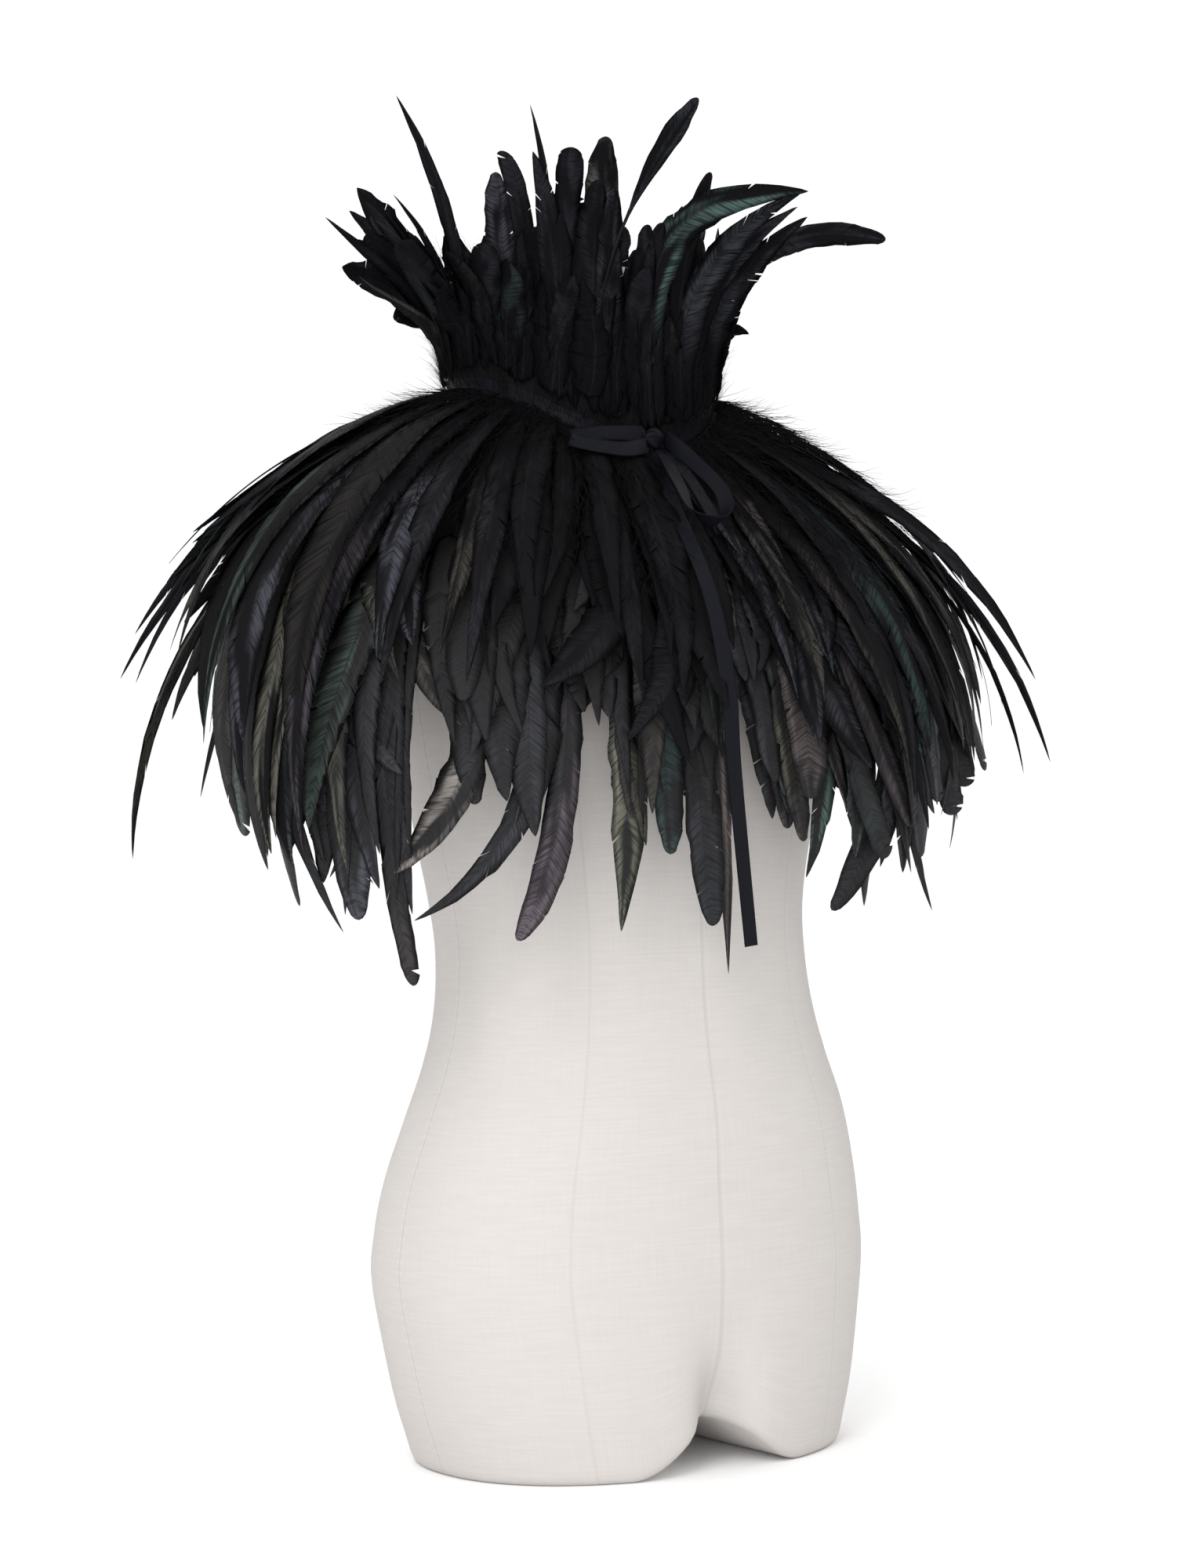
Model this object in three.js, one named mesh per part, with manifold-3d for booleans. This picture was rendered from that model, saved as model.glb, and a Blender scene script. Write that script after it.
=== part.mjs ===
// A feather cape with a standing collar and ribbon ties, on a limbless dress form.
// Millimetres, +Z up. The front faces -Y and the wearer's left is +X.
import * as THREE from "three";
import { mergeVertices } from "three/addons/utils/BufferGeometryUtils.js";
import Module from "manifold-3d";

const wasm = await Module();
wasm.setup();

// Driving dimensions
const seamGap = 0.3; // between pieces that are sewn or laid together
const clothThick = 1.5; // yoke and collar stand
const ribbonThick = 1.0;
const ribbonWide = 10;
const neckAxisY = 26; // the neck stands behind the middle of the hips
const slitDegrees = 3; // half of the front opening
const yokeLength = 143; // from the neck seam down to the yoke's hem
const standHeight = 58;
const bandHeight = 11;
const tapeWide = 6; // the strip that holds the roots of a row of feathers
const tapeThick = 1.5;
const tapeLift = 0.55; // over the cloth that the tape is sewn to, which its own facets take up
const ridgeWide = 2.2; // a feather's quill, along its middle
const feathersPerRow = 34;
const rowSpacing = 33;
const firstRow = 5;
const rowCount = 5;
const rowDepth = 6.8; // one row of feathers lies this far above the next
const nestDepth = 2.4; // every second feather of a row lies this far over its neighbours

const middleShift = [0, -20, 0]; // from the middle of the hips to the middle of the whole

// The dress form, from the cut base to the top of the neck.
const formSections = [
  { height: 0, halfWidth: 140, front: -110, back: 116 },
  { height: 40, halfWidth: 151, front: -112, back: 120 },
  { height: 75, halfWidth: 158.5, front: -112, back: 122 },
  { height: 118, halfWidth: 165.5, front: -111, back: 123 },
  { height: 142, halfWidth: 164.5, front: -110, back: 120 },
  { height: 178, halfWidth: 159, front: -109, back: 111 },
  { height: 217, halfWidth: 148, front: -108, back: 97 },
  { height: 256, halfWidth: 134, front: -102, back: 87 },
  { height: 288, halfWidth: 126, front: -98, back: 84 },
  { height: 322, halfWidth: 122.5, front: -97, back: 87 },
  { height: 350, halfWidth: 124, front: -97, back: 92 },
  { height: 388, halfWidth: 131, front: -100, back: 96 },
  { height: 430, halfWidth: 139, front: -105, back: 99 },
  { height: 468, halfWidth: 146, front: -111, back: 101 },
  { height: 500, halfWidth: 150, front: -111, back: 103 },
  { height: 530, halfWidth: 154, front: -102, back: 105 },
  { height: 560, halfWidth: 159, front: -86, back: 106 },
  { height: 585, halfWidth: 163, front: -71, back: 105 },
  { height: 605, halfWidth: 162, front: -59, back: 102 },
  { height: 621, halfWidth: 154, front: -50, back: 98 },
  { height: 635, halfWidth: 137, front: -44, back: 94 },
  { height: 647, halfWidth: 115, front: -39, back: 90 },
  { height: 659, halfWidth: 89, front: -36, back: 86 },
  { height: 671, halfWidth: 67, front: -35, back: 81 },
  { height: 690, halfWidth: 58, front: -34, back: 78 },
  { height: 728, halfWidth: 55, front: -33, back: 76 },
  { height: 747, halfWidth: 54, front: -32, back: 75 },
  { height: 752, halfWidth: 50, front: -28, back: 71 },
];
const formSides = 40;
const formSquareness = 2.25; // 2 is an ellipse, more is squarer
const archHalfWidth = 64; // the arch between the two thigh stubs
const archHeight = 30;

// The surface that the yoke's top lies on, and the feathers below its hem: how far out from the
// neck's axis and how high it is, at the front, at the side and at the back, from the neck down.
const capeStations = [
  { frontOut: 77, frontUp: 632, sideOut: 87, sideUp: 672, backOut: 74, backUp: 680 },
  { frontOut: 96, frontUp: 606, sideOut: 116, sideUp: 656, backOut: 90, backUp: 651 },
  { frontOut: 115, frontUp: 579, sideOut: 142, sideUp: 637, backOut: 104, backUp: 621 },
  { frontOut: 131, frontUp: 550, sideOut: 167, sideUp: 614, backOut: 115, backUp: 590 },
  { frontOut: 144, frontUp: 520, sideOut: 189, sideUp: 591, backOut: 124, backUp: 558 },
  { frontOut: 153, frontUp: 488, sideOut: 212, sideUp: 567, backOut: 131, backUp: 526 },
  { frontOut: 160, frontUp: 456, sideOut: 231, sideUp: 540, backOut: 137, backUp: 493 },
  { frontOut: 164, frontUp: 423, sideOut: 244, sideUp: 510, backOut: 141, backUp: 460 },
  { frontOut: 166, frontUp: 390, sideOut: 250, sideUp: 477, backOut: 144, backUp: 427 },
  { frontOut: 166, frontUp: 357, sideOut: 250, sideUp: 444, backOut: 146, backUp: 394 },
  { frontOut: 165, frontUp: 324, sideOut: 246, sideUp: 411, backOut: 146, backUp: 361 },
  { frontOut: 163, frontUp: 291, sideOut: 239, sideUp: 379, backOut: 145, backUp: 328 },
  { frontOut: 160, frontUp: 258, sideOut: 231, sideUp: 347, backOut: 143, backUp: 295 },
  { frontOut: 157, frontUp: 225, sideOut: 222, sideUp: 315, backOut: 141, backUp: 262 },
];

// Each row of the cape: the usual length and width of its feathers, and how far along a
// feather its free end starts to turn out.
const capeRows = [
  { length: 152, width: 26, freeFrom: 0.62, flare: 9 },
  { length: 160, width: 29, freeFrom: 0.78, flare: 2.2 },
  { length: 166, width: 31, freeFrom: 0.8, flare: 2 },
  { length: 170, width: 33, freeFrom: 0.8, flare: 2.2 },
  { length: 170, width: 34, freeFrom: 0.72, flare: 2.2 },
];
const lengthShares = { front: 0.84, side: 1.2, back: 0.96 };

// Feathers that stand out from their row: the angle round the neck that each is nearest to,
// its length, how far its tip turns out, and how far its tip swings round.
const strayFeathers = [
  { row: 1, angle: 237, length: 200, flare: 66, swing: 0 },
  { row: 1, angle: 226, length: 176, flare: 34, swing: -4 },
  { row: 1, angle: 250, length: 178, flare: 30, swing: 3 },
  { row: 1, angle: 57, length: 200, flare: 38, swing: 0 },
  { row: 1, angle: 140, length: 176, flare: 30, swing: 3 },
  { row: 2, angle: 241, length: 282, flare: 54, swing: 0 },
  { row: 2, angle: 62, length: 226, flare: 40, swing: 2 },
  { row: 5, angle: 354, length: 200, flare: 2, swing: -2 },
  { row: 5, angle: 333, length: 192, flare: 3, swing: 3 },
  { row: 5, angle: 312, length: 218, flare: 3, swing: -3 },
  { row: 5, angle: 291, length: 274, flare: 4, swing: -3 },
  { row: 5, angle: 276, length: 246, flare: 6, swing: 2 },
  { row: 5, angle: 18, length: 170, flare: 3, swing: 3 },
  { row: 5, angle: 32, length: 206, flare: 5, swing: 4 },
];

// Feathers of the collar that rise above the rest, on its outer and its inner face.
const tallOuterFeathers = [
  { angle: 268, length: 172, width: 13, flare: -8, swing: 0 },
  { angle: 243, length: 120, width: 25, flare: 6, swing: -3 },
  { angle: 226, length: 112, width: 24, flare: 12, swing: 5 },
  { angle: 4, length: 176, width: 17, flare: 8, swing: 6 },
  { angle: 24, length: 156, width: 21, flare: 12, swing: 2 },
  { angle: 48, length: 128, width: 18, flare: 52, swing: 6 },
  { angle: 60, length: 104, width: 20, flare: 94, swing: 0 },
  { angle: 74, length: 54, width: 20, flare: 36, swing: -4 },
  { angle: 118, length: 130, width: 20, flare: 22, swing: 4 },
];
const tallInnerFeathers = [
  { angle: 147, length: 142, width: 19, flare: 14, swing: 0 },
  { angle: 190, length: 150, width: 10, flare: 24, swing: 0 },
  { angle: 208, length: 136, width: 20, flare: 14, swing: 0 },
];

// The ribbons of the bow: the angle round the neck, how far out and how high each point is,
// and how the ribbon's width runs there: round the neck, up, and away from it.
const leftLoop = [
  { angle: -5.4, out: 83, up: 643, round: 0, rise: 1, away: 0.1 },
  { angle: -16, out: 86.5, up: 643, round: 0, rise: 1, away: -0.2 },
  { angle: -27, out: 95, up: 642, round: 0.1, rise: 1, away: -0.6 },
  { angle: -36, out: 108.5, up: 638.5, round: 0.2, rise: 1, away: -0.7 },
  { angle: -33, out: 114, up: 635, round: 0.2, rise: 1, away: -0.7 },
  { angle: -19, out: 104, up: 631.5, round: 0.1, rise: 1, away: -0.5 },
  { angle: -6, out: 90.5, up: 635, round: 0, rise: 1, away: -0.2 },
];
const rightLoop = [
  { angle: 5.4, out: 84.5, up: 641, round: -0.2, rise: 1, away: 0 },
  { angle: 8, out: 109, up: 625, round: 0.7, rise: 0.6, away: 0.3 },
  { angle: 8.5, out: 139, up: 602, round: 0.8, rise: 0.2, away: 0.6 },
  { angle: 4, out: 152, up: 584, round: 0.1, rise: 0.5, away: 0.8 },
  { angle: -4, out: 149, up: 589, round: -0.7, rise: 0.3, away: 0.6 },
  { angle: -4, out: 132, up: 607, round: -1, rise: 0.1, away: 0.2 },
  { angle: -1.5, out: 97, up: 630, round: -1, rise: 0.2, away: 0 },
];
const longTail = [
  { angle: -3.2, out: 83.4, up: 633.3, round: 1, rise: 0, away: 0 },
  { angle: -4, out: 101, up: 617, round: 1, rise: 0.1, away: 0 },
  { angle: -5.5, out: 132, up: 592, round: 1, rise: 0, away: 0 },
  { angle: -5.5, out: 178, up: 538, round: 1, rise: 0, away: 0.1 },
  { angle: -5, out: 199, up: 482, round: 1, rise: 0, away: 0.1 },
  { angle: -4, out: 201, up: 430, round: 1, rise: 0, away: -0.1 },
  { angle: -3, out: 200, up: 326, round: 1, rise: 0, away: -0.2 },
];
const shortTail = [
  { angle: 4.2, out: 83.7, up: 633.5, round: 1, rise: 0, away: 0 },
  { angle: 4.6, out: 105, up: 618, round: 1, rise: 0, away: 0 },
  { angle: 3.6, out: 132, up: 591, round: 1, rise: 0, away: 0 },
  { angle: 3.4, out: 144, up: 576, round: 1, rise: 0, away: 0 },
];
const knotSize = { out: 83.4, up: 640, halfLength: 7, halfHeight: 6.5, halfDepth: 4 };

const radians = THREE.MathUtils.degToRad;

// A repeatable stream of numbers from 0 to 1.
function numbers(seed) {
  let state = seed;
  return () => {
    state = (state * 1664525 + 1013904223) % 4294967296;
    return state / 4294967296;
  };
}

// A closed body from its corners and its faces, each a list of corner numbers, turned outwards.
function closedGeometry(corners, faces) {
  const index = [];
  for (const face of faces) {
    for (let i = 1; i < face.length - 1; i++) index.push(face[0], face[i], face[i + 1]);
  }
  let volume = 0;
  for (let i = 0; i < index.length; i += 3) {
    const [a, b, c] = [0, 1, 2].map((k) => corners[index[i + k]]);
    volume += a.dot(b.clone().cross(c));
  }
  if (volume < 0) index.reverse();
  return new THREE.BufferGeometry().setFromPoints(corners).setIndex(index);
}

// A body through rings of equal count, closed by a flat cap at each end.
function loftedGeometry(rings) {
  const corners = rings.flat();
  const sides = rings[0].length;
  const faces = [];
  for (let ring = 0; ring < rings.length - 1; ring++) {
    for (let side = 0; side < sides; side++) {
      const next = (side + 1) % sides;
      const low = ring * sides;
      const high = low + sides;
      faces.push([low + side, low + next, high + next, high + side]);
    }
  }
  const first = rings[0].map((_, side) => side);
  const last = first.map((side) => side + (rings.length - 1) * sides);
  for (const cap of [first.reverse(), last]) {
    const middle = corners.length;
    const sum = new THREE.Vector3();
    cap.forEach((corner) => sum.add(corners[corner]));
    corners.push(sum.divideScalar(sides));
    cap.forEach((corner, i) => faces.push([corner, cap[(i + 1) % sides], middle]));
  }
  return closedGeometry(corners, faces);
}

// A cloth wall between two grids of points, outer[row][column] and inner[row][column].
function wallGeometry(outer, inner) {
  const rows = outer.length;
  const columns = outer[0].length;
  const corners = [...outer.flat(), ...inner.flat()];
  const at = (layer, row, column) => (layer * rows + row) * columns + column;
  const faces = [];
  for (let row = 0; row < rows - 1; row++) {
    for (let column = 0; column < columns - 1; column++) {
      const quad = (layer) => [
        at(layer, row, column),
        at(layer, row, column + 1),
        at(layer, row + 1, column + 1),
        at(layer, row + 1, column),
      ];
      faces.push(quad(0), quad(1).reverse());
    }
  }
  const edge = (a, b) => faces.push([at(0, ...b), at(0, ...a), at(1, ...a), at(1, ...b)]);
  for (let column = 0; column < columns - 1; column++) {
    edge([0, column], [0, column + 1]);
    edge([rows - 1, column + 1], [rows - 1, column]);
  }
  for (let row = 0; row < rows - 1; row++) {
    edge([row + 1, 0], [row, 0]);
    edge([row, columns - 1], [row + 1, columns - 1]);
  }
  return closedGeometry(corners, faces);
}

function asManifold(geometry) {
  const bare = mergeVertices(geometry.clone().deleteAttribute("normal").deleteAttribute("uv"));
  const mesh = { numProp: 3, vertProperties: bare.attributes.position.array };
  return new wasm.Manifold(new wasm.Mesh({ ...mesh, triVerts: bare.index.array }));
}

function fromManifold(solid) {
  const mesh = solid.getMesh();
  const place = new THREE.BufferAttribute(new Float32Array(mesh.vertProperties), 3);
  return new THREE.BufferGeometry()
    .setAttribute("position", place)
    .setIndex(new THREE.BufferAttribute(new Uint32Array(mesh.triVerts), 1));
}

// A smooth curve through the values of a column, at a place counted in stations.
function smooth(stations, column, place) {
  const most = stations.length - 1;
  const index = THREE.MathUtils.clamp(Math.floor(place), 0, most - 1);
  const value = (i) => stations[THREE.MathUtils.clamp(i, 0, most)][column];
  const [a, b, c, d] = [-1, 0, 1, 2].map((step) => value(index + step));
  const t = place - index;
  return b + 0.5 * t * (c - a + t * (2 * a - 5 * b + 4 * c - d + t * (3 * (b - c) + d - a)));
}

// How much the front, the side and the back count at an angle round the neck, 0 at the front
// and 90 at the wearer's left.
function shares(degrees) {
  const forward = Math.cos(radians(degrees));
  const side = 1 - forward * forward;
  return { front: forward > 0 ? 1 - side : 0, side, back: forward > 0 ? 0 : 1 - side };
}

function mixed({ front, side, back }, degrees) {
  const share = shares(degrees);
  return share.front * front + share.side * side + share.back * back;
}

function capeAt(degrees, station) {
  const column = (name) => smooth(capeStations, name, station);
  const values = (what) => ({
    front: column("front" + what),
    side: column("side" + what),
    back: column("back" + what),
  });
  return { out: mixed(values("Out"), degrees), up: mixed(values("Up"), degrees) };
}

function around(degrees, out, up) {
  const turn = radians(degrees);
  return new THREE.Vector3(out * Math.sin(turn), neckAxisY - out * Math.cos(turn), up);
}

// The point a length down the cape from the neck seam, on the yoke's top.
function capePoint(degrees, down) {
  let station = 0;
  let from = capeAt(degrees, 0);
  let walked = 0;
  for (;;) {
    const to = capeAt(degrees, station + 1);
    const step = Math.hypot(to.out - from.out, to.up - from.up);
    if (walked + step >= down || station === capeStations.length - 2) {
      const here = capeAt(degrees, station + (down - walked) / step);
      return around(degrees, here.out, here.up);
    }
    walked += step;
    station += 1;
    from = to;
  }
}

// The point a height up the collar's stand, on its outer face. The collar leans out as it
// rises, most at the back.
function collarPoint(degrees, rise) {
  const base = capeAt(degrees, 0);
  const lean = 0.0003 + 0.0036 * (0.5 - 0.5 * Math.cos(radians(degrees)));
  return around(degrees, base.out + lean * rise * rise, base.up + rise);
}

function innerCollarPoint(degrees, rise) {
  return lifted(collarPoint, degrees, rise, -clothThick).point;
}

// A point lifted off one of those surfaces, with the directions along and across it.
function lifted(surface, degrees, along, lift) {
  const at = surface(degrees, along);
  const forward = surface(degrees, along + 1).sub(surface(degrees, along - 1)).normalize();
  const sideways = surface(degrees + 0.5, along).sub(surface(degrees - 0.5, along)).normalize();
  const outward = new THREE.Vector3().crossVectors(forward, sideways).normalize();
  if (outward.dot(around(degrees, 1, 0).setY(-Math.cos(radians(degrees)))) < 0) outward.negate();
  return { point: at.addScaledVector(outward, lift), outward };
}

// A wall on a surface, open at the front, between two distances along it and two lifts.
function openRingWall(surface, along, lifts, columns, rows) {
  const grid = (lift) =>
    Array.from({ length: rows + 1 }, (_, row) =>
      Array.from({ length: columns + 1 }, (_, column) => {
        const degrees = slitDegrees + ((360 - 2 * slitDegrees) * column) / columns;
        const place = THREE.MathUtils.lerp(along[0], along[1], row / rows);
        return lifted(surface, degrees, place, lift).point;
      }),
    );
  return wallGeometry(grid(lifts[1]), grid(lifts[0]));
}

// How wide a feather is along its length, as a share of its widest, and how thick it is.
const featherStations = [
  { place: 0.14, blunt: 0.62, pointed: 0.6, thick: 1.6 },
  { place: 0.37, blunt: 0.9, pointed: 0.92, thick: 1.7 },
  { place: 0.6, blunt: 1, pointed: 0.98, thick: 1.7 },
  { place: 0.83, blunt: 0.92, pointed: 0.66, thick: 1.4 },
  { place: 1, blunt: 0.34, pointed: 0.12, thick: 0.7 },
];

// A row of feathers growing from a tape. Each feather is a strand of four sides with a narrow
// ridge on its outer face, and its root is the part of the tape's edge that it grows from.
function featherRow({ surface, start, side, feathers }) {
  const corners = [];
  const faces = [];
  const add = (point) => corners.push(point) - 1;
  const columns = [];
  for (const feather of feathers) {
    for (const end of [-1, 1]) {
      const degrees = feather.degrees + (end * feather.rootDegrees) / 2;
      const corner = (along, lift) => add(lifted(surface, degrees, along, side * lift).point);
      columns.push({
        topInner: corner(start, tapeLift),
        topOuter: corner(start, tapeLift + tapeThick),
        rootOuter: corner(start + tapeWide, tapeLift + tapeThick),
        rootInner: corner(start + tapeWide, tapeLift),
      });
    }
  }
  columns.slice(1).forEach((b, i) => {
    const a = columns[i];
    faces.push([a.topOuter, b.topOuter, b.rootOuter, a.rootOuter]);
    faces.push([a.topInner, b.topInner, b.topOuter, a.topOuter]);
    faces.push([a.rootInner, b.rootInner, b.topInner, a.topInner]);
    if (i % 2) faces.push([a.rootOuter, b.rootOuter, b.rootInner, a.rootInner]);
  });
  const [first, last] = [columns[0], columns.at(-1)];
  faces.push([first.topInner, first.topOuter, first.rootOuter, first.rootInner]);
  faces.push([last.rootInner, last.rootOuter, last.topOuter, last.topInner]);

  feathers.forEach((feather, number) => {
    const [left, right] = columns.slice(2 * number, 2 * number + 2);
    let ring = [left.rootInner, left.rootOuter, right.rootOuter, right.rootInner];
    for (const station of featherStations) {
      const u = station.place;
      const along = start + tapeWide + u * feather.length;
      const degrees = feather.degrees + feather.swing * u * u;
      const free = Math.max(0, (u - feather.freeFrom) / (1 - feather.freeFrom));
      const lift = feather.lift(along) + feather.flare * free * free;
      const { point, outward } = lifted(surface, degrees, along, side * lift);
      const ahead = lifted(surface, degrees, along + 2, side * lift).point.sub(point);
      const across = new THREE.Vector3().crossVectors(ahead, outward).normalize();
      if (across.dot(around(degrees + 90, 1, 0).setY(Math.sin(radians(degrees)))) < 0) across.negate();
      const wide = feather.width * THREE.MathUtils.lerp(station.pointed, station.blunt, feather.blunt);
      const ridge = Math.min(ridgeWide, wide * 0.5);
      const corner = (sideways, high) =>
        add(point.clone().addScaledVector(across, sideways).addScaledVector(outward, side * high));
      const next = [
        corner(-wide / 2, 0),
        corner(-ridge / 2, station.thick),
        corner(ridge / 2, station.thick),
        corner(wide / 2, 0),
      ];
      ring.forEach((_, i) => {
        const j = (i + 1) % ring.length;
        faces.push([ring[j], ring[i], next[i], next[j]].reverse());
      });
      ring = next;
    }
    faces.push(ring);
  });
  return closedGeometry(corners, faces);
}

// The feathers of one row, spread round from one side of the front opening to the other.
function spreadFeathers(count, seed, phase, describe) {
  const random = numbers(seed);
  const pitch = (360 - 2 * slitDegrees) / count;
  return Array.from({ length: count }, (_, number) => {
    const degrees = slitDegrees + pitch * (number + 0.5);
    const odd = (number + phase) % 2;
    return { degrees, rootDegrees: pitch * 0.56, odd, ...describe(random, degrees, odd) };
  });
}

function applyStandouts(feathers, standouts) {
  for (const { angle, row, ...own } of standouts) {
    const away = (feather) => Math.abs(feather.degrees - angle);
    const nearest = feathers.reduce((a, b) => (away(b) < away(a) ? b : a));
    Object.assign(nearest, own);
  }
  return feathers;
}

function capeRowGeometry(number) {
  const row = capeRows[number - 1];
  const start = firstRow + (number - 1) * rowSpacing;
  // Each row climbs over the tapes of the rows below it, so that no two rows meet.
  const climb = (along) => {
    const passed = Math.min((along - start) / rowSpacing, rowCount - number);
    return tapeLift + rowDepth * Math.max(0, passed);
  };
  const feathers = spreadFeathers(feathersPerRow, 40 + number, number, (random, degrees) => ({
    length: row.length * (0.86 + 0.26 * random()) * mixed(lengthShares, degrees),
    width: row.width * (0.84 + 0.18 * random()),
    blunt: random(),
    flare: row.flare * random(),
    swing: 3.4 * (random() - 0.5),
    freeFrom: row.freeFrom,
  }));
  applyStandouts(feathers, strayFeathers.filter((stray) => stray.row === number));
  for (const feather of feathers) feather.lift = (along) => climb(along) + nestDepth * feather.odd;
  return featherRow({ surface: capePoint, start, side: 1, feathers });
}

function collarRowGeometry({ count, start, side, length, width, seed, tall }) {
  const feathers = spreadFeathers(count, seed, 0, (random, degrees, odd) => ({
    length: length * (0.82 + 0.32 * random()),
    width: width * (0.84 + 0.2 * random()),
    blunt: 0.35 + 0.65 * random(),
    flare: side > 0 ? 5 * (random() + odd) : 2 * random(),
    swing: 5 * (random() - 0.5),
    freeFrom: 0.45,
  }));
  applyStandouts(feathers, tall);
  // On the collar's hollow side the flat feathers bridge the curve.
  const bridge = side > 0 ? 0 : 1.3;
  for (const feather of feathers) {
    feather.lift = () => tapeLift + bridge + nestDepth * feather.odd;
  }
  const surface = side > 0 ? collarPoint : innerCollarPoint;
  return featherRow({ surface, start, side, feathers });
}

function dressFormGeometry() {
  const rounded = (value) => Math.sign(value) * Math.abs(value) ** (2 / formSquareness);
  const rings = formSections.map(({ height, halfWidth, front, back }) =>
    Array.from({ length: formSides }, (_, side) => {
      const turn = (2 * Math.PI * side) / formSides;
      const x = halfWidth * rounded(Math.cos(turn));
      const y = (front + back) / 2 + ((back - front) / 2) * rounded(Math.sin(turn));
      return new THREE.Vector3(x, y, height);
    }),
  );
  const arch = new THREE.Shape();
  arch.moveTo(-archHalfWidth, -10);
  arch.lineTo(-archHalfWidth, 0);
  arch.bezierCurveTo(-archHalfWidth * 0.62, 2, -archHalfWidth * 0.42, archHeight, 0, archHeight);
  arch.bezierCurveTo(archHalfWidth * 0.42, archHeight, archHalfWidth * 0.62, 2, archHalfWidth, 0);
  arch.lineTo(archHalfWidth, -10);
  const cutter = new THREE.ExtrudeGeometry(arch, { depth: 400, bevelEnabled: false, curveSegments: 7 });
  cutter.rotateX(Math.PI / 2).translate(0, 200, 0);
  return fromManifold(asManifold(loftedGeometry(rings)).subtract(asManifold(cutter)));
}

// A ribbon along a smooth path. Each point of the path has a place and the way the ribbon's
// width runs there.
function ribbonGeometry(path, steps) {
  const line = new THREE.CatmullRomCurve3(path.map((p) => p.place), false, "centripetal");
  const wide = new THREE.CatmullRomCurve3(path.map((p) => p.wide.clone().normalize()));
  const rings = Array.from({ length: steps + 1 }, (_, step) => {
    const t = step / steps;
    const place = line.getPoint(t);
    const ahead = line.getTangent(t);
    const across = wide.getPoint(t).projectOnPlane(ahead).normalize();
    const face = new THREE.Vector3().crossVectors(ahead, across);
    return [[-1, -1], [1, -1], [1, 1], [-1, 1]].map(([sideways, through]) =>
      place
        .clone()
        .addScaledVector(across, (sideways * ribbonWide) / 2)
        .addScaledVector(face, (through * ribbonThick) / 2),
    );
  });
  return loftedGeometry(rings);
}

// The point and the width's direction for one row of a ribbon's table.
function ribbonPoint({ angle, out, up, round, rise, away }) {
  const turn = radians(angle);
  const place = around(angle, out, up);
  const wide = new THREE.Vector3(Math.cos(turn), Math.sin(turn), 0).multiplyScalar(round);
  wide.add(new THREE.Vector3(Math.sin(turn), -Math.cos(turn), 0).multiplyScalar(away));
  return { place, wide: wide.setZ(rise) };
}

function knotGeometry({ out, up, halfLength, halfHeight, halfDepth }) {
  const shape = [[-1, 0.5], [-0.7, 0.9], [-0.2, 0.96], [0.25, 1], [0.7, 0.88], [1, 0.5]];
  const rings = shape.map(([along, size]) =>
    Array.from({ length: 8 }, (_, side) => {
      const turn = (2 * Math.PI * side) / 8;
      const forward = out + halfDepth * size * Math.cos(turn);
      const place = around(0, forward, up + halfHeight * size * Math.sin(turn));
      return place.setX(along * halfLength);
    }),
  );
  return loftedGeometry(rings);
}

function clothMaterial(color, roughness) {
  return new THREE.MeshStandardMaterial({ color, roughness, metalness: 0 });
}

const linen = clothMaterial(0xdcd8d2, 0.9);
const blackCloth = clothMaterial(0x101014, 0.85);
const satin = clothMaterial(0x15161c, 0.45);
const featherBlack = clothMaterial(0x0b0c0f, 0.5);

const garment = new THREE.Group();
garment.name = "feather_cape_on_form";

function addPiece(name, geometry, material) {
  const mesh = new THREE.Mesh(geometry, material);
  mesh.name = name;
  garment.add(mesh);
  return mesh;
}

addPiece("dress_form", dressFormGeometry(), linen);

addPiece("yoke", openRingWall(capePoint, [0, yokeLength], [-clothThick, 0], 60, 5), blackCloth);
addPiece(
  "collar_stand",
  openRingWall(collarPoint, [1, standHeight], [-clothThick, 0], 44, 4),
  blackCloth,
);
addPiece(
  "neck_band",
  openRingWall(collarPoint, [1.5, 1.5 + bandHeight], [seamGap, seamGap + ribbonThick], 44, 1),
  satin,
);

for (let number = 1; number <= rowCount; number++) {
  addPiece("cape_feathers_row_" + number, capeRowGeometry(number), featherBlack);
}

addPiece(
  "collar_feathers_outer",
  collarRowGeometry({
    count: 28,
    start: bandHeight + 2.5,
    side: 1,
    length: 116,
    width: 25,
    seed: 71,
    tall: tallOuterFeathers,
  }),
  featherBlack,
);
addPiece(
  "collar_feathers_inner",
  collarRowGeometry({
    count: 24,
    start: 8,
    side: -1,
    length: 112,
    width: 22,
    seed: 83,
    tall: tallInnerFeathers,
  }),
  featherBlack,
);

addPiece("ribbon_knot", knotGeometry(knotSize), satin);
addPiece("ribbon_loop_left", ribbonGeometry(leftLoop.map(ribbonPoint), 14), satin);
addPiece("ribbon_loop_right", ribbonGeometry(rightLoop.map(ribbonPoint), 14), satin);
addPiece("ribbon_tail_long", ribbonGeometry(longTail.map(ribbonPoint), 12), satin);
addPiece("ribbon_tail_short", ribbonGeometry(shortTail.map(ribbonPoint), 5), satin);

// The frame's origin is under the middle of the whole object.
garment.position.set(...middleShift);

export default garment;
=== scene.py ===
import math

import bpy
import numpy as np
from mathutils import Matrix, Vector


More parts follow.
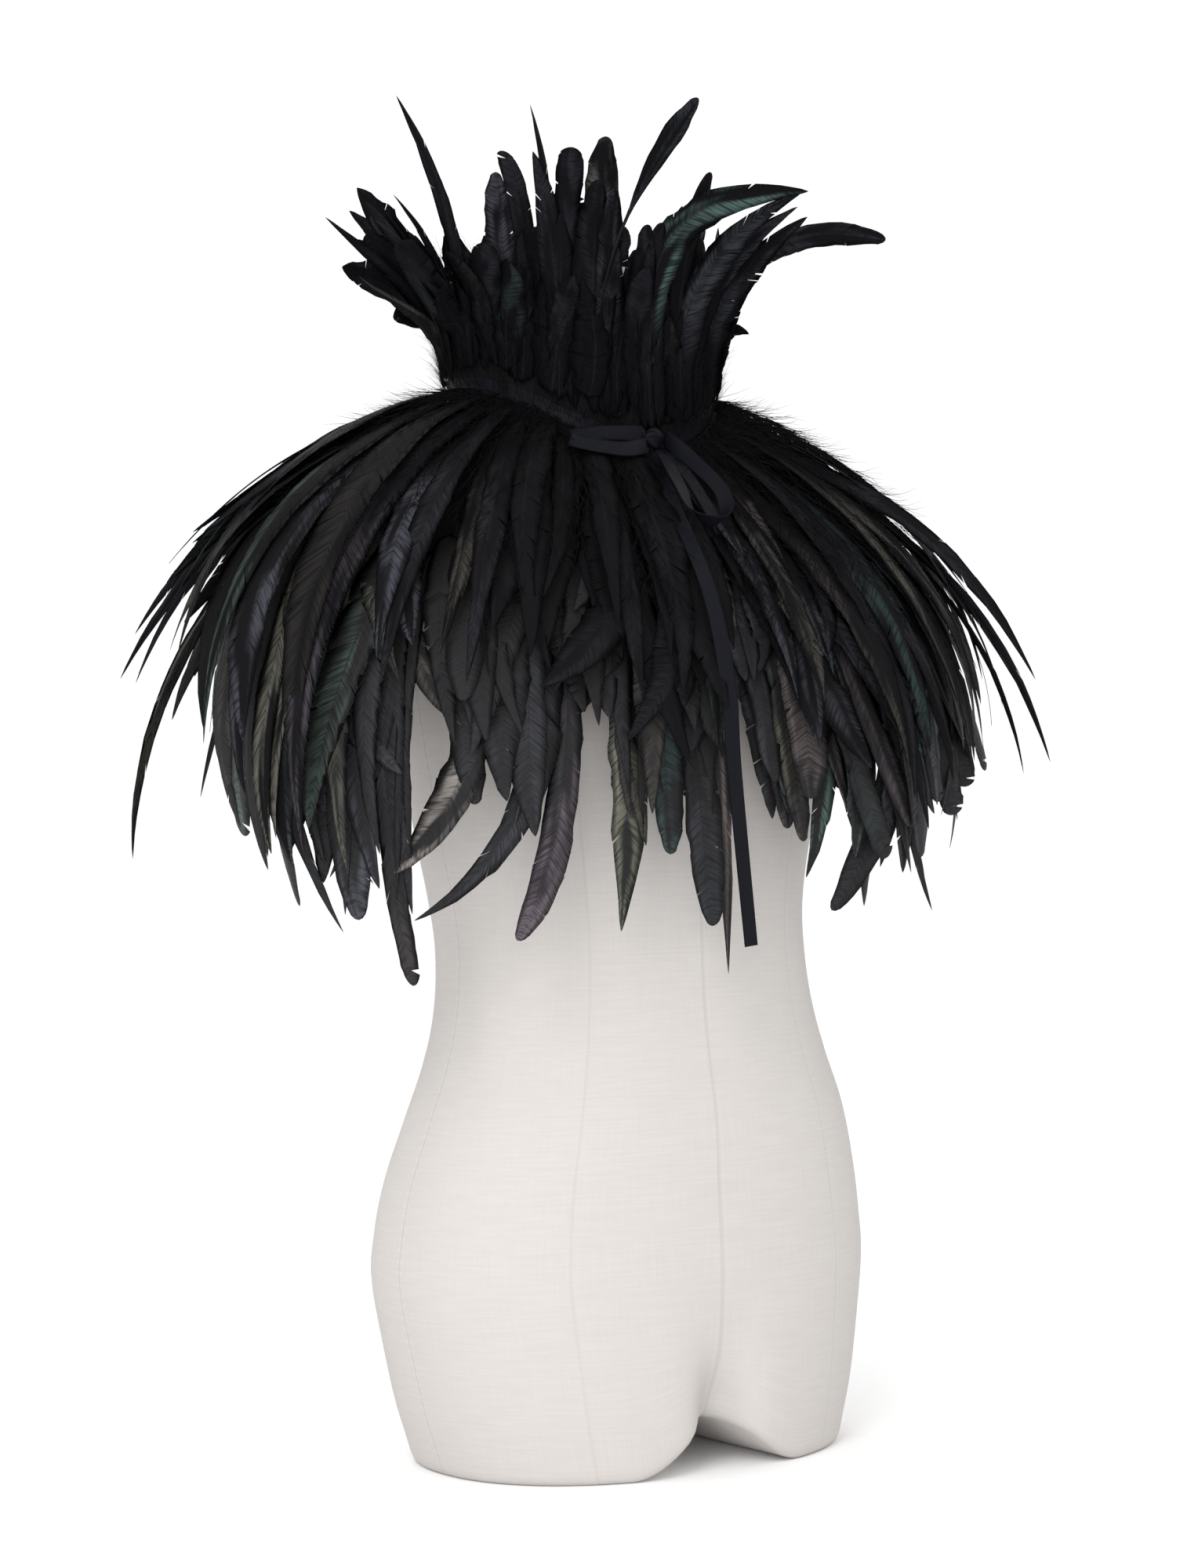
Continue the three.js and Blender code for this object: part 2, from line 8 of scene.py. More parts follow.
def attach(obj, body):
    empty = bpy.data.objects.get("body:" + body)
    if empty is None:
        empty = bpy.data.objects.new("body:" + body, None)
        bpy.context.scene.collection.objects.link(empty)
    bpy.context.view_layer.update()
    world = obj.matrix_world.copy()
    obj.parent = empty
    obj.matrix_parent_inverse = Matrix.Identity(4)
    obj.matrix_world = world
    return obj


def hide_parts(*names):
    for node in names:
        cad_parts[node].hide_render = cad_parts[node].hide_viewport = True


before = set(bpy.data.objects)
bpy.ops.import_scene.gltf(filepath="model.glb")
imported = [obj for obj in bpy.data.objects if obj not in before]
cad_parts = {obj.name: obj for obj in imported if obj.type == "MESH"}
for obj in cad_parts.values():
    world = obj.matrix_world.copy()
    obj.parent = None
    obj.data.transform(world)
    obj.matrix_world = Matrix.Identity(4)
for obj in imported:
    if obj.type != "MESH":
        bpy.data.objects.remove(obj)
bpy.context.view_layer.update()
print("frame loaded")

mm = 0.001
middleShiftY = -20.0  # the frame's origin lies behind the middle of the hips
neckAxisY = 26.0 + middleShiftY
onePiece = "root"


class Wire:
    # a socket that takes part in arithmetic
    def __init__(self, graph, socket):
        self.graph = graph
        self.socket = socket

    def maths(self, operation, *others):
        return self.graph.add("ShaderNodeMath", {"operation": operation}, [self, *others])

    def __add__(self, other):
        return self.maths("ADD", other)

    __radd__ = __add__

    def __mul__(self, other):
        return self.maths("MULTIPLY", other)

    __rmul__ = __mul__

    def __sub__(self, other):
        return self.maths("SUBTRACT", other)

    def __rsub__(self, other):
        return self.graph.add("ShaderNodeMath", {"operation": "SUBTRACT"}, [other, self])

    def __abs__(self):
        return self.maths("ABSOLUTE")


class Graph:
    def __init__(self, tree):
        self.tree = tree

    def add(self, kind, settings=None, values=(), output=0):
        # a node of any kind: its settings first, then the values or links of its sockets
        node = self.tree.nodes.new(kind)
        for name, value in (settings or {}).items():
            if name == "stops":
                ramp = node.color_ramp
                while len(ramp.elements) < len(value):
                    ramp.elements.new(1.0)
                for element, (place, colour) in zip(ramp.elements, value):
                    element.position = place
                    element.color = (*colour, 1.0)
            else:
                setattr(node, name, value)
        pairs = values.items() if isinstance(values, dict) else enumerate(values)
        for name, value in pairs:
            target = node.inputs[name]
            if isinstance(value, Wire):
                self.tree.links.new(value.socket, target)
            else:
                target.default_value = value
        return Wire(self, node.outputs[output]) if len(node.outputs) else None

    def vector(self, operation, *values):
        return self.add("ShaderNodeVectorMath", {"operation": operation}, list(values))

    def scaled(self, vector, amount):
        return self.add("ShaderNodeVectorMath", {"operation": "SCALE"}, {0: vector, "Scale": amount})

    def blend(self, amount, first, second):
        settings = {"data_type": "RGBA", "blend_type": "MIX"}
        return self.add("ShaderNodeMix", settings, {0: amount, 6: first, 7: second}, 2)

    def spread(self, value, low, high, toLow=0.0, toHigh=1.0):
        settings = {"interpolation_type": "SMOOTHSTEP", "clamp": True}
        return self.add("ShaderNodeMapRange", settings, [value, low, high, toLow, toHigh])


def newMaterial(name):
    material = bpy.data.materials.new(name)
    material.use_nodes = True
    material.node_tree.nodes.clear()
    return material, Graph(material.node_tree)


def finishMaterial(graph, values):
    shader = graph.add("ShaderNodeBsdfPrincipled", {}, values)
    graph.add("ShaderNodeOutputMaterial", {}, {"Surface": shader})


def rgb(red, green, blue):
    return (red, green, blue, 1.0)


featherColours = {
    "quill": rgb(0.012, 0.0115, 0.012),
    "stops": [  # the painted sheen's colours: green, teal, blue, black, plum, brown, olive, taupe
        (0.0, (0.076, 0.107, 0.087)),
        (0.16, (0.066, 0.114, 0.110)),
        (0.32, (0.070, 0.074, 0.090)),
        (0.46, (0.038, 0.036, 0.044)),
        (0.58, (0.076, 0.064, 0.076)),
        (0.70, (0.110, 0.091, 0.085)),
        (0.82, (0.076, 0.080, 0.058)),
        (1.0, (0.185, 0.170, 0.160)),
    ],
    "barbs": 120.0,  # along one feather
}
featherKinds = {
    # the collar's feathers, the two top rows of the cape and the three lower ones
    "collar": {
        "black": rgb(0.0030, 0.0028, 0.0038), "barb": rgb(0.0050, 0.0048, 0.0060),
        "roughness": 0.62, "mirror": 0.024,
    },
    "hackle": {
        "black": rgb(0.0050, 0.0049, 0.0056), "barb": rgb(0.0082, 0.0080, 0.0090),
        "roughness": 0.70, "mirror": 0.020,
    },
    "tail": {
        "black": rgb(0.0062, 0.0061, 0.0070), "barb": rgb(0.0270, 0.0262, 0.0280),
        "roughness": 0.52, "mirror": 0.095,
    },
}
fabricColours = {
    "down": rgb(0.0066, 0.0064, 0.0074),
    "cotton": rgb(0.005, 0.005, 0.006),
    "satin": rgb(0.0042, 0.0045, 0.0072),
    "satinEdge": rgb(0.003, 0.003, 0.0045),
}


def featherMaterial(kind):
    # each feather's own tone picks the hue and strength of the sheen painted into its colour
    material, g = newMaterial("cock" + kind.title() + "Feather")
    barb = g.add("ShaderNodeAttribute", {"attribute_name": "barb"}, (), 1)
    tone = g.add("ShaderNodeAttribute", {"attribute_name": "tone"}, (), 1)
    across = g.add("ShaderNodeSeparateXYZ", {}, [barb], 0)
    along = g.add("ShaderNodeSeparateXYZ", {}, [barb], 1)
    hue = g.add("ShaderNodeSeparateXYZ", {}, [tone], 0)
    sheen = g.add("ShaderNodeSeparateXYZ", {}, [tone], 1)
    seed = g.add("ShaderNodeSeparateXYZ", {}, [tone], 2)

    slant = along * featherColours["barbs"]
    where = g.add("ShaderNodeCombineXYZ", {}, [slant, across * 0.8, seed * 40.0])
    clump = g.add("ShaderNodeTexNoise", {}, {"Vector": where, "Scale": 1.1, "Detail": 2.0})
    lines = (slant * 7.0).maths("SINE") * 0.5 + 0.5
    wide = g.add("ShaderNodeCombineXYZ", {}, [along * 4.0, across * 1.1, seed * 30.0])
    cloud = g.add("ShaderNodeTexNoise", {}, {"Vector": wide, "Scale": 1.0, "Detail": 1.0})

    # painted sheen: lighter tinted patches put into the feathers' colour for the light they catch; the
    # metallic share taken from it gives real gloss
    paintedSheen = g.spread(cloud, 0.40, 0.64) * g.spread(along, 0.15, 0.5) * sheen
    paintedSheen = paintedSheen * g.spread(clump, 0.32, 0.62, 0.2, 1.0) * (0.7 + lines * 0.3)
    paintedSheenColour = g.add("ShaderNodeValToRGB", {"stops": featherColours["stops"]}, [hue + cloud * 0.16 - 0.08])
    plain = g.blend(clump * 0.8, featherKinds[kind]["black"], featherKinds[kind]["barb"])
    colour = g.blend(paintedSheen, plain, paintedSheenColour)
    shaft = g.spread(abs(across), 0.08, 0.02) * g.spread(along, 0.92, 0.5)
    colour = g.blend(shaft * 0.6, colour, featherColours["quill"])
    height = clump * 0.85 + lines * 0.15
    bump = g.add("ShaderNodeBump", {}, {"Strength": 0.9, "Distance": 0.0007, "Height": height})
    finishMaterial(g, {
        "Base Color": colour,
        "Metallic": paintedSheen * 0.4,
        "Roughness": featherKinds[kind]["roughness"] - paintedSheen * 0.08 + clump * 0.16 - 0.08,
        "Normal": bump,
        "Specular IOR Level": featherKinds[kind]["mirror"],
    })
    return material


def downMaterial():
    material, g = newMaterial("featherDown")
    finishMaterial(g, {
        "Base Color": fabricColours["down"],
        "Roughness": 0.8,
        "Specular IOR Level": 0.03,
    })
    return material


def plainClothMaterial():
    material, g = newMaterial("blackCottonCloth")
    place = g.add("ShaderNodeTexCoord", {}, (), 3)
    grain = g.add("ShaderNodeTexNoise", {}, {"Vector": place, "Scale": 900.0, "Detail": 1.0})
    bump = g.add("ShaderNodeBump", {}, {"Strength": 0.4, "Distance": 0.0004, "Height": grain})
    finishMaterial(g, {
        "Base Color": fabricColours["cotton"],
        "Roughness": 0.85,
        "Normal": bump,
        "Specular IOR Level": 0.12,
    })
    return material


def ribbonMaterial():
    # a satin ribbon: fine ribs across it, and a firmer edge
    material, g = newMaterial("blackSatinRibbon")
    run = g.add("ShaderNodeUVMap", {"uv_map": "ribbonRun"}, ())
    across = g.add("ShaderNodeSeparateXYZ", {}, [run], 0)
    along = g.add("ShaderNodeSeparateXYZ", {}, [run], 1)
    ribs = (along * 5200.0).maths("SINE") * 0.5 + 0.5
    edge = g.spread(abs(across - 0.5), 0.41, 0.45)
    grain = g.add("ShaderNodeTexNoise", {}, {"Vector": run, "Scale": 240.0, "Detail": 1.0})
    height = ribs * 0.35 + edge * 0.8 + grain * 0.3
    bump = g.add("ShaderNodeBump", {}, {"Strength": 0.5, "Distance": 0.0003, "Height": height})
    colour = g.blend(edge * 0.5, fabricColours["satin"], fabricColours["satinEdge"])
    finishMaterial(g, {
        "Base Color": colour,
        "Roughness": 0.46 + edge * 0.25 + grain * 0.08,
        "Normal": bump,
        "Specular IOR Level": 0.085,
    })
    return material


linen = {
    "light": rgb(0.538, 0.512, 0.494),
    "shade": rgb(0.502, 0.477, 0.458),
    "seam": rgb(0.456, 0.432, 0.414),
    "thread": rgb(0.595, 0.577, 0.558),
}


def linenMaterial():
    # fine slub weave by place on the form, with the seams drawn along its own wrap map
    material, g = newMaterial("offWhiteLinen")
    wrap = g.add("ShaderNodeUVMap", {"uv_map": "formWrap"}, ())
    turn = g.add("ShaderNodeSeparateXYZ", {}, [wrap], 0)
    height = g.add("ShaderNodeSeparateXYZ", {}, [wrap], 1)
    weft = g.add("ShaderNodeCombineXYZ", {}, [turn * 26.0, height * 620.0, 0.0])
    warp = g.add("ShaderNodeCombineXYZ", {}, [turn * 760.0, height * 26.0, 3.0])
    slubs = g.add("ShaderNodeTexNoise", {}, {"Vector": weft, "Scale": 1.0, "Detail": 2.0})
    threads = g.add("ShaderNodeTexNoise", {}, {"Vector": warp, "Scale": 1.0, "Detail": 2.0})
    weave = slubs * 0.65 + threads * 0.35
    place = g.add("ShaderNodeTexCoord", {}, (), 3)
    cloud = g.add("ShaderNodeTexNoise", {}, {"Vector": place, "Scale": 6.0, "Detail": 2.0})
    colour = g.blend(g.spread(weave, 0.3, 0.72), linen["shade"], linen["light"])
    colour = g.blend(g.spread(cloud, 0.35, 0.75) * 0.10, colour, linen["shade"])
    depth = weave * 0.5
    for seam in formSeams:
        away = abs(turn - seam["turn"])
        ditch = g.spread(away, 0.0016, 0.0004)
        stitched = (height * 900.0).maths("SINE")
        stitch = g.spread(abs(away - 0.0019), 0.0006, 0.0002) * g.spread(stitched, 0.1, 0.5)
        colour = g.blend(ditch * seam["strength"], colour, linen["seam"])
        colour = g.blend(stitch * seam["stitches"], colour, linen["thread"])
        depth = depth - ditch * (2.2 * seam["strength"])
    bump = g.add("ShaderNodeBump", {}, {"Strength": 0.35, "Distance": 0.0005, "Height": depth})
    finishMaterial(g, {
        "Base Color": colour,
        "Roughness": 0.9,
        "Normal": bump,
        "Specular IOR Level": 0.25,
    })
    return material


capeShape = {
    # how far out and how high the cape lies at 14 steps down it, at the front, the side and the back
    "frontOut": [77, 96, 115, 131, 144, 153, 160, 164, 166, 166, 165, 163, 160, 157],
    "frontUp": [632, 606, 579, 550, 520, 488, 456, 423, 390, 357, 324, 291, 258, 225],
    "sideOut": [87, 116, 142, 167, 189, 212, 231, 244, 250, 250, 246, 239, 231, 222],
    "sideUp": [672, 656, 637, 614, 591, 567, 540, 510, 477, 444, 411, 379, 347, 315],
    "backOut": [74, 90, 104, 115, 124, 131, 137, 141, 144, 146, 146, 145, 143, 141],
    "backUp": [680, 651, 621, 590, 558, 526, 493, 460, 427, 394, 361, 328, 295, 262],
}
stationsFine = np.linspace(0, 13, 131)


def smoothColumn(values, place):
    values = np.asarray(values, float)
    most = len(values) - 1
    index = np.clip(np.floor(place).astype(int), 0, most - 1)
    a, b, c, d = (values[np.clip(index + step, 0, most)] for step in (-1, 0, 1, 2))
    t = place - index
    return b + 0.5 * t * (c - a + t * (2 * a - 5 * b + 4 * c - d + t * (3 * (b - c) + d - a)))


capeColumns = {name: smoothColumn(values, stationsFine) for name, values in capeShape.items()}


def around(degrees, out, up):
    turn = math.radians(degrees)
    return np.array([out * math.sin(turn), neckAxisY - out * math.cos(turn), up])


def sideShares(degrees):
    forward = math.cos(math.radians(degrees))
    side = 1 - forward * forward
    return (1 - side if forward > 0 else 0.0), side, (0.0 if forward > 0 else 1 - side)


meridians = {}


def meridian(degrees):
    key = round(degrees, 2)
    if key not in meridians:
        front, side, back = sideShares(degrees)
        out, up = (
            front * capeColumns["front" + what]
            + side * capeColumns["side" + what]
            + back * capeColumns["back" + what]
            for what in ("Out", "Up")
        )
        walked = np.concatenate([[0], np.cumsum(np.hypot(np.diff(out), np.diff(up)))])
        meridians[key] = (walked, out, up)
    return meridians[key]


def capePoint(degrees, down):
    walked, out, up = meridian(degrees)
    place = around(degrees, np.interp(down, walked, out), np.interp(down, walked, up))
    if down < 0:
        place[2] -= down * 0.7
    return place


def collarPoint(degrees, rise):
    walked, out, up = meridian(degrees)
    lean = 0.0003 + 0.0036 * (0.5 - 0.5 * math.cos(math.radians(degrees)))
    return around(degrees, out[0] + lean * rise * abs(rise), up[0] + rise)


def unit(vector):
    return vector / max(1e-9, np.linalg.norm(vector))


def spot(surface, degrees, along):
    # a place on a surface, with the ways out of it, along it and round it
    place = surface(degrees, along)
    ahead = unit(surface(degrees, along + 1.5) - surface(degrees, along - 1.5))
    sideways = unit(surface(degrees + 0.6, along) - surface(degrees - 0.6, along))
    outward = unit(np.cross(ahead, sideways))
    if outward @ (around(degrees, 1, 0) - around(degrees, 0, 0)) < 0:
        outward = -outward
    return place, outward, ahead, sideways


def makeObject(name, mesh):
    piece = bpy.data.objects.new(name, mesh)
    bpy.context.scene.collection.objects.link(piece)
    return piece


def makeMesh(name, points, faces, material, uv=None, uvName=None):
    mesh = bpy.data.meshes.new(name)
    mesh.from_pydata([tuple(p * mm) for p in points], [], faces)
    mesh.shade_smooth()
    if uv is not None:
        layer = mesh.uv_layers.new(name=uvName)
        corners = np.empty(len(mesh.loops), np.int32)
        mesh.loops.foreach_get("vertex_index", corners)
        layer.data.foreach_set("uv", np.asarray(uv, np.float32)[corners].ravel())
    mesh.materials.append(material)
    mesh.update()
    return mesh


def shellFaces(rows, columns, offset):
    # the faces of a closed thin shell between two grids, the second one starting at offset
    at = lambda layer, r, c: layer * offset + r * columns + c
    faces = []
    for r in range(rows - 1):
        for c in range(columns - 1):
            quad = [(r, c), (r, c + 1), (r + 1, c + 1), (r + 1, c)]
            faces.append([at(0, *q) for q in quad])
            faces.append([at(1, *q) for q in reversed(quad)])
    rim = [(0, c) for c in range(columns)]
    rim += [(r, columns - 1) for r in range(1, rows)]
    rim += [(rows - 1, c) for c in range(columns - 2, -1, -1)]
    rim += [(r, 0) for r in range(rows - 2, 0, -1)]
    for a, b in zip(rim, rim[1:] + rim[:1]):
        faces.append([at(0, *b), at(0, *a), at(1, *a), at(1, *b)])
    return faces


def clothShell(name, outer, inner, material, uvName):
    outer, inner = np.asarray(outer), np.asarray(inner)
    rows, columns = outer.shape[:2]
    points = np.concatenate([outer.reshape(-1, 3), inner.reshape(-1, 3)])
    u, v = np.meshgrid(np.linspace(0, 1, columns), np.linspace(0, 1, rows))
    width = np.linalg.norm(np.diff(outer, axis=1), axis=2).sum(1).max() * mm
    length = np.linalg.norm(np.diff(outer, axis=0), axis=2).sum(0).max() * mm
    uv = np.tile(np.stack([u.ravel() * width, v.ravel() * length], 1), (2, 1))
    faces = shellFaces(rows, columns, rows * columns)
    return turnOutwards(makeMesh(name, points, faces, material, uv, uvName))


def turnOutwards(mesh):
    points = np.empty(len(mesh.vertices) * 3)
    mesh.vertices.foreach_get("co", points)
    points = points.reshape(-1, 3)
    mesh.calc_loop_triangles()
    corners = np.empty(len(mesh.loop_triangles) * 3, np.int32)
    mesh.loop_triangles.foreach_get("vertices", corners)
    a, b, c = points[corners.reshape(-1, 3)].transpose(1, 0, 2)
    if (a * np.cross(b, c)).sum() < 0:
        mesh.flip_normals()
    return mesh


def settle(piece, nodes):
    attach(piece, onePiece)
    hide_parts(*nodes)


bladeShapes = {
    # half widths at the root, then on the way to where the tip begins, where that is and how full it is,
    # how many splits each side has, how deep they are, and how uneven the two sides are
    "rounded": {
        "widths": (0.14, 0.70, 1.0, 0.93), "tip": 0.78, "full": 1.9,
        "splits": 2, "deep": 0.45, "odd": 0.10,
    },
    "broad": {
        "widths": (0.36, 0.88, 1.0, 0.93), "tip": 0.76, "full": 1.7,
        "splits": 2, "deep": 0.5, "odd": -0.10,
    },
    "pointed": {
        "widths": (0.36, 0.88, 1.0, 0.86), "tip": 0.56, "full": 1.3,
        "splits": 3, "deep": 0.55, "odd": 0.14,
    },
    "ragged": {
        "widths": (0.44, 0.90, 1.0, 0.86), "tip": 0.66, "full": 1.5,
        "splits": 5, "deep": 0.75, "odd": -0.16,
    },
    "slim": {
        "widths": (0.26, 0.84, 1.0, 0.88), "tip": 0.68, "full": 1.5,
        "splits": 2, "deep": 0.5, "odd": 0.12,
    },
    "notched": {
        "widths": (0.18, 0.76, 1.0, 1.0), "tip": 0.90, "full": 2.6,
        "splits": 3, "deep": 0.6, "odd": 0.05,
    },
    "spoon": {
        "widths": (0.07, 0.07, 0.16, 1.0), "tip": 0.86, "full": 1.9,
        "splits": 1, "deep": 0.4, "odd": 0.12,
    },
    "wisp": {
        "widths": (0.50, 0.84, 1.0, 0.74), "tip": 0.60, "full": 1.1,
        "splits": 5, "deep": 0.85, "odd": 0.2,
    },
}
bladeNames = sorted(bladeShapes)
blade = {"kinds": 4, "thick": 0.16, "quill": 0.5, "slant": 0.045}  # kinds is how many blanks each shape has


def bladeBlank(name, seed):
    # a flat blade of unit length and unit half-width, closed all round; its rows follow the barbs
    random = np.random.default_rng(seed)
    shape = bladeShapes[name]
    start = shape["tip"]
    splits = []
    for side in (-1, 1):
        steps = np.arange(shape["splits"]) + random.random(shape["splits"])
        places = 0.3 + 0.62 * steps / shape["splits"]
        for place in places:
            deep = shape["deep"] * (0.5 + 0.7 * random.random())
            splits.append((place, side, min(0.88, deep), 0.001 + 0.0055 * random.random() ** 3))
    clumps = {side: 1 - 0.18 * random.random(16) ** 1.5 for side in (-1, 1)}
    frays = {side: 1 - 0.07 * random.random(90) for side in (-1, 1)}
    if name == "notched":
        splits.append((0.965, 1, 0.9, 0.008))
    lower = np.linspace(0, start, int(26 * start) + 4)[:-1]
    plain = np.concatenate([lower, start + (1 - start) * np.sin(np.linspace(0, 1, 9) * 1.5708)])
    ends = (0, plain[-1])
    lines = [(v, 0, 0.0) for v in plain if v in ends or all(abs(v - place) > 0.012 for place, *_ in splits)]
    for place, side, deep, gap in splits:
        lines += [(place - gap, 0, 0.0), (place, side, deep), (place + gap, 0, 0.0)]
    lines.sort(key=lambda line: line[0])
    columns = (-1.0, -0.5, 0.0, 0.5, 1.0)
    points, barb = [], []
    wave = random.random(3) * 6.3
    for layer in (1, -1):
        for number, (v, splitSide, deep) in enumerate(lines):
            for x in columns:
                side = 1 if x > 0 else -1
                reach = abs(x) * (1 - deep if side == splitSide else 1)
                slant = blade["slant"] * min(1.0, (1 - v) / 0.2)
                y = v + slant * reach
                half = np.interp(min(y, start), [0, start * 0.4, start * 0.75, start], shape["widths"])
                if y > start:
                    power = 0.5 if shape["full"] > 1.8 else 0.8
                    past = (y - start) / (1 - start)
                    half = shape["widths"][3] * max(0.0, 1 - past ** shape["full"]) ** power
                half *= (1 + side * shape["odd"] + 0.035 * math.sin(v * 17 + wave[side + 1])
                         + 0.02 * math.sin(v * 43 + wave[1]))
                if 0.12 < v < 0.97:
                    half *= clumps[side][int(v * 13 + wave[side + 1]) % 16] * frays[side][number]
                inside = abs(x) < 1 and 0 < v < 1
                lift = layer * blade["thick"] * (1 - abs(x)) if inside else 0.0
                if x == 0 and layer > 0 and inside:
                    lift += blade["quill"] * (1 - v)
                points.append((half * reach * side, min(1.0, y), lift))
                barb.append((reach * side, v, 0.0))
    rows = len(lines)
    used, merged, keptBarb, index = {}, [], [], []
    for i, point in enumerate(points):
        r, c = divmod(i % (rows * 5), 5)
        edge = r in (0, rows - 1) or c in (0, 4)
        key = "tip" if r == rows - 1 else (r, c, 0 if edge else i // (rows * 5))
        if key not in used:
            used[key] = len(merged)
            merged.append((0.0, 1.0, 0.0) if key == "tip" else point)
            keptBarb.append(barb[i])
        index.append(used[key])
    faces = []
    for layer in (0, 1):
        for r in range(rows - 1):
            for c in range(4):
                corner = (layer * rows + r) * 5 + c
                ring = list(dict.fromkeys(index[corner + step] for step in (0, 1, 6, 5)))
                faces.append(ring if layer == 0 else ring[::-1])
    mesh = bpy.data.meshes.new("blank_" + name)
    mesh.from_pydata(merged, [], faces)
    mesh.attributes.new("barb", "FLOAT_VECTOR", "POINT").data.foreach_set(
        "vector", np.asarray(keptBarb, np.float32).ravel()
    )
    return mesh


def hairBlank():
    # a three-sided barb of down, closed at both ends
    rows = 4
    points, faces = [], []
    for r in range(rows):
        v = r / (rows - 1)
        size = (1 - 0.85 * v) * 0.5
        for turn in (0.5, 2.6, 4.7):
            points.append((math.cos(turn) * size, v, math.sin(turn) * size * 0.35))
    for r in range(rows - 1):
        for k in range(3):
            a, b = r * 3 + k, r * 3 + (k + 1) % 3
            faces.append([a, b, b + 3, a + 3])
    faces.append([2, 1, 0])
    faces.append([rows * 3 - 3, rows * 3 - 2, rows * 3 - 1])
    mesh = bpy.data.meshes.new("blank_hair")
    mesh.from_pydata(points, [], faces)
    return mesh


def blankCollection(name, meshes):
    held = bpy.data.collections.new(name)
    for number, mesh in enumerate(meshes):
        held.objects.link(bpy.data.objects.new("%s_%03d" % (name, number), mesh))
    return held


def layingTree():
    # lays one blank along each strand's own curve, and turns its width as the strand says
    tree = bpy.data.node_groups.new("layStrands", "GeometryNodeTree")
    face = tree.interface
    face.new_socket("Strands", in_out="INPUT", socket_type="NodeSocketGeometry")
    face.new_socket("Blanks", in_out="INPUT", socket_type="NodeSocketCollection")
    face.new_socket("Finish", in_out="INPUT", socket_type="NodeSocketMaterial")
    face.new_socket("Width share", in_out="INPUT", socket_type="NodeSocketFloat").default_value = 1.0
    face.new_socket("Thickness", in_out="INPUT", socket_type="NodeSocketFloat").default_value = 0.001
    face.new_socket("Pieces", in_out="OUTPUT", socket_type="NodeSocketGeometry")
    g = Graph(tree)
    given = tree.nodes.new("NodeGroupInput")
    strands, blanks, finish, share, thickness = (Wire(g, given.outputs[i]) for i in range(5))

    def own(name, kind="FLOAT_VECTOR"):
        return g.add("GeometryNodeInputNamedAttribute", {"data_type": kind}, {"Name": name})

    parts = g.add("GeometryNodeCollectionInfo", {}, {
        "Collection": blanks, "Separate Children": True, "Reset Children": True,
    })
    placed = g.add("GeometryNodeInstanceOnPoints", {}, {
        "Points": strands, "Instance": parts, "Pick Instance": True,
        "Instance Index": own("shape", "INT"),
    })
    real = g.add("GeometryNodeRealizeInstances", {}, {"Geometry": placed})
    place = g.add("GeometryNodeInputPosition")
    x, v, z = (g.add("ShaderNodeSeparateXYZ", {}, [place], i) for i in range(3))
    w = 1 - v
    first, second, third, fourth = (own("spine" + letter) for letter in "ABCD")
    step = lambda a, b: g.vector("SUBTRACT", b, a)
    total = lambda a, b: g.vector("ADD", a, b)
    line = total(
        total(g.scaled(first, w * w * w), g.scaled(second, w * w * v * 3)),
        total(g.scaled(third, w * v * v * 3), g.scaled(fourth, v * v * v)),
    )
    heading = total(
        total(g.scaled(step(first, second), w * w), g.scaled(step(second, third), w * v * 2)),
        g.scaled(step(third, fourth), v * v),
    )
    side = total(g.scaled(own("sideRoot"), w), g.scaled(own("sideTip"), v))
    upward = g.vector("NORMALIZE", g.vector("CROSS_PRODUCT", heading, side))
    side = g.vector("NORMALIZE", g.vector("CROSS_PRODUCT", upward, heading))
    half = own("halfWide", "FLOAT") * share
    height = z * thickness - x * x * half * own("cup", "FLOAT")
    laid = total(line, total(g.scaled(side, x * half), g.scaled(upward, height)))
    moved = g.add("GeometryNodeSetPosition", {}, {"Geometry": real, "Position": laid})
    soft = g.add("GeometryNodeSetShadeSmooth", {}, {"Geometry": moved, "Shade Smooth": True})
    dressed = g.add("GeometryNodeSetMaterial", {}, {"Geometry": soft, "Material": finish})
    made = tree.nodes.new("NodeGroupOutput")
    tree.links.new(dressed.socket, made.inputs[0])
    return tree


laying = {"widthShare": 1.0, "thickness": mm}  # wider or thinner feathers, all at once


def layStrands(name, strands, tree, blanks, finish, thickness=laying["thickness"]):
    # the strands as one mesh: each is a point that carries its curve, width and tone
    mesh = bpy.data.meshes.new(name + "_strands")
    mesh.vertices.add(len(strands))
    kinds = {"spineA": 3, "spineB": 3, "spineC": 3, "spineD": 3, "sideRoot": 3, "sideTip": 3,
             "tone": 3, "halfWide": 1, "cup": 1, "shape": 0}
    for key, kind in kinds.items():
        data = mesh.attributes.new(key, ("INT", "FLOAT", "", "FLOAT_VECTOR")[kind], "POINT").data
        values = np.array([strand[key] for strand in strands], np.int32 if kind == 0 else np.float32)
        data.foreach_set("vector" if kind == 3 else "value", values.ravel())
    source = makeObject(name + "_source", mesh)
    modifier = source.modifiers.new("lay", "NODES")
    modifier.node_group = tree
    ids = {item.name: item.identifier for item in tree.interface.items_tree if item.in_out == "INPUT"}
    modifier[ids["Blanks"]] = blanks
    modifier[ids["Finish"]] = finish
    modifier[ids["Width share"]] = laying["widthShare"]
    modifier[ids["Thickness"]] = thickness
    bpy.context.view_layer.update()
    made = bpy.data.meshes.new_from_object(source.evaluated_get(bpy.context.evaluated_depsgraph_get()))
    bpy.data.objects.remove(source)
    for key in kinds:
        if key != "tone" and key in made.attributes:
            made.attributes.remove(made.attributes[key])
    made.name = name
    if not made.materials:
        made.materials.append(finish)
    return turnOutwards(made)


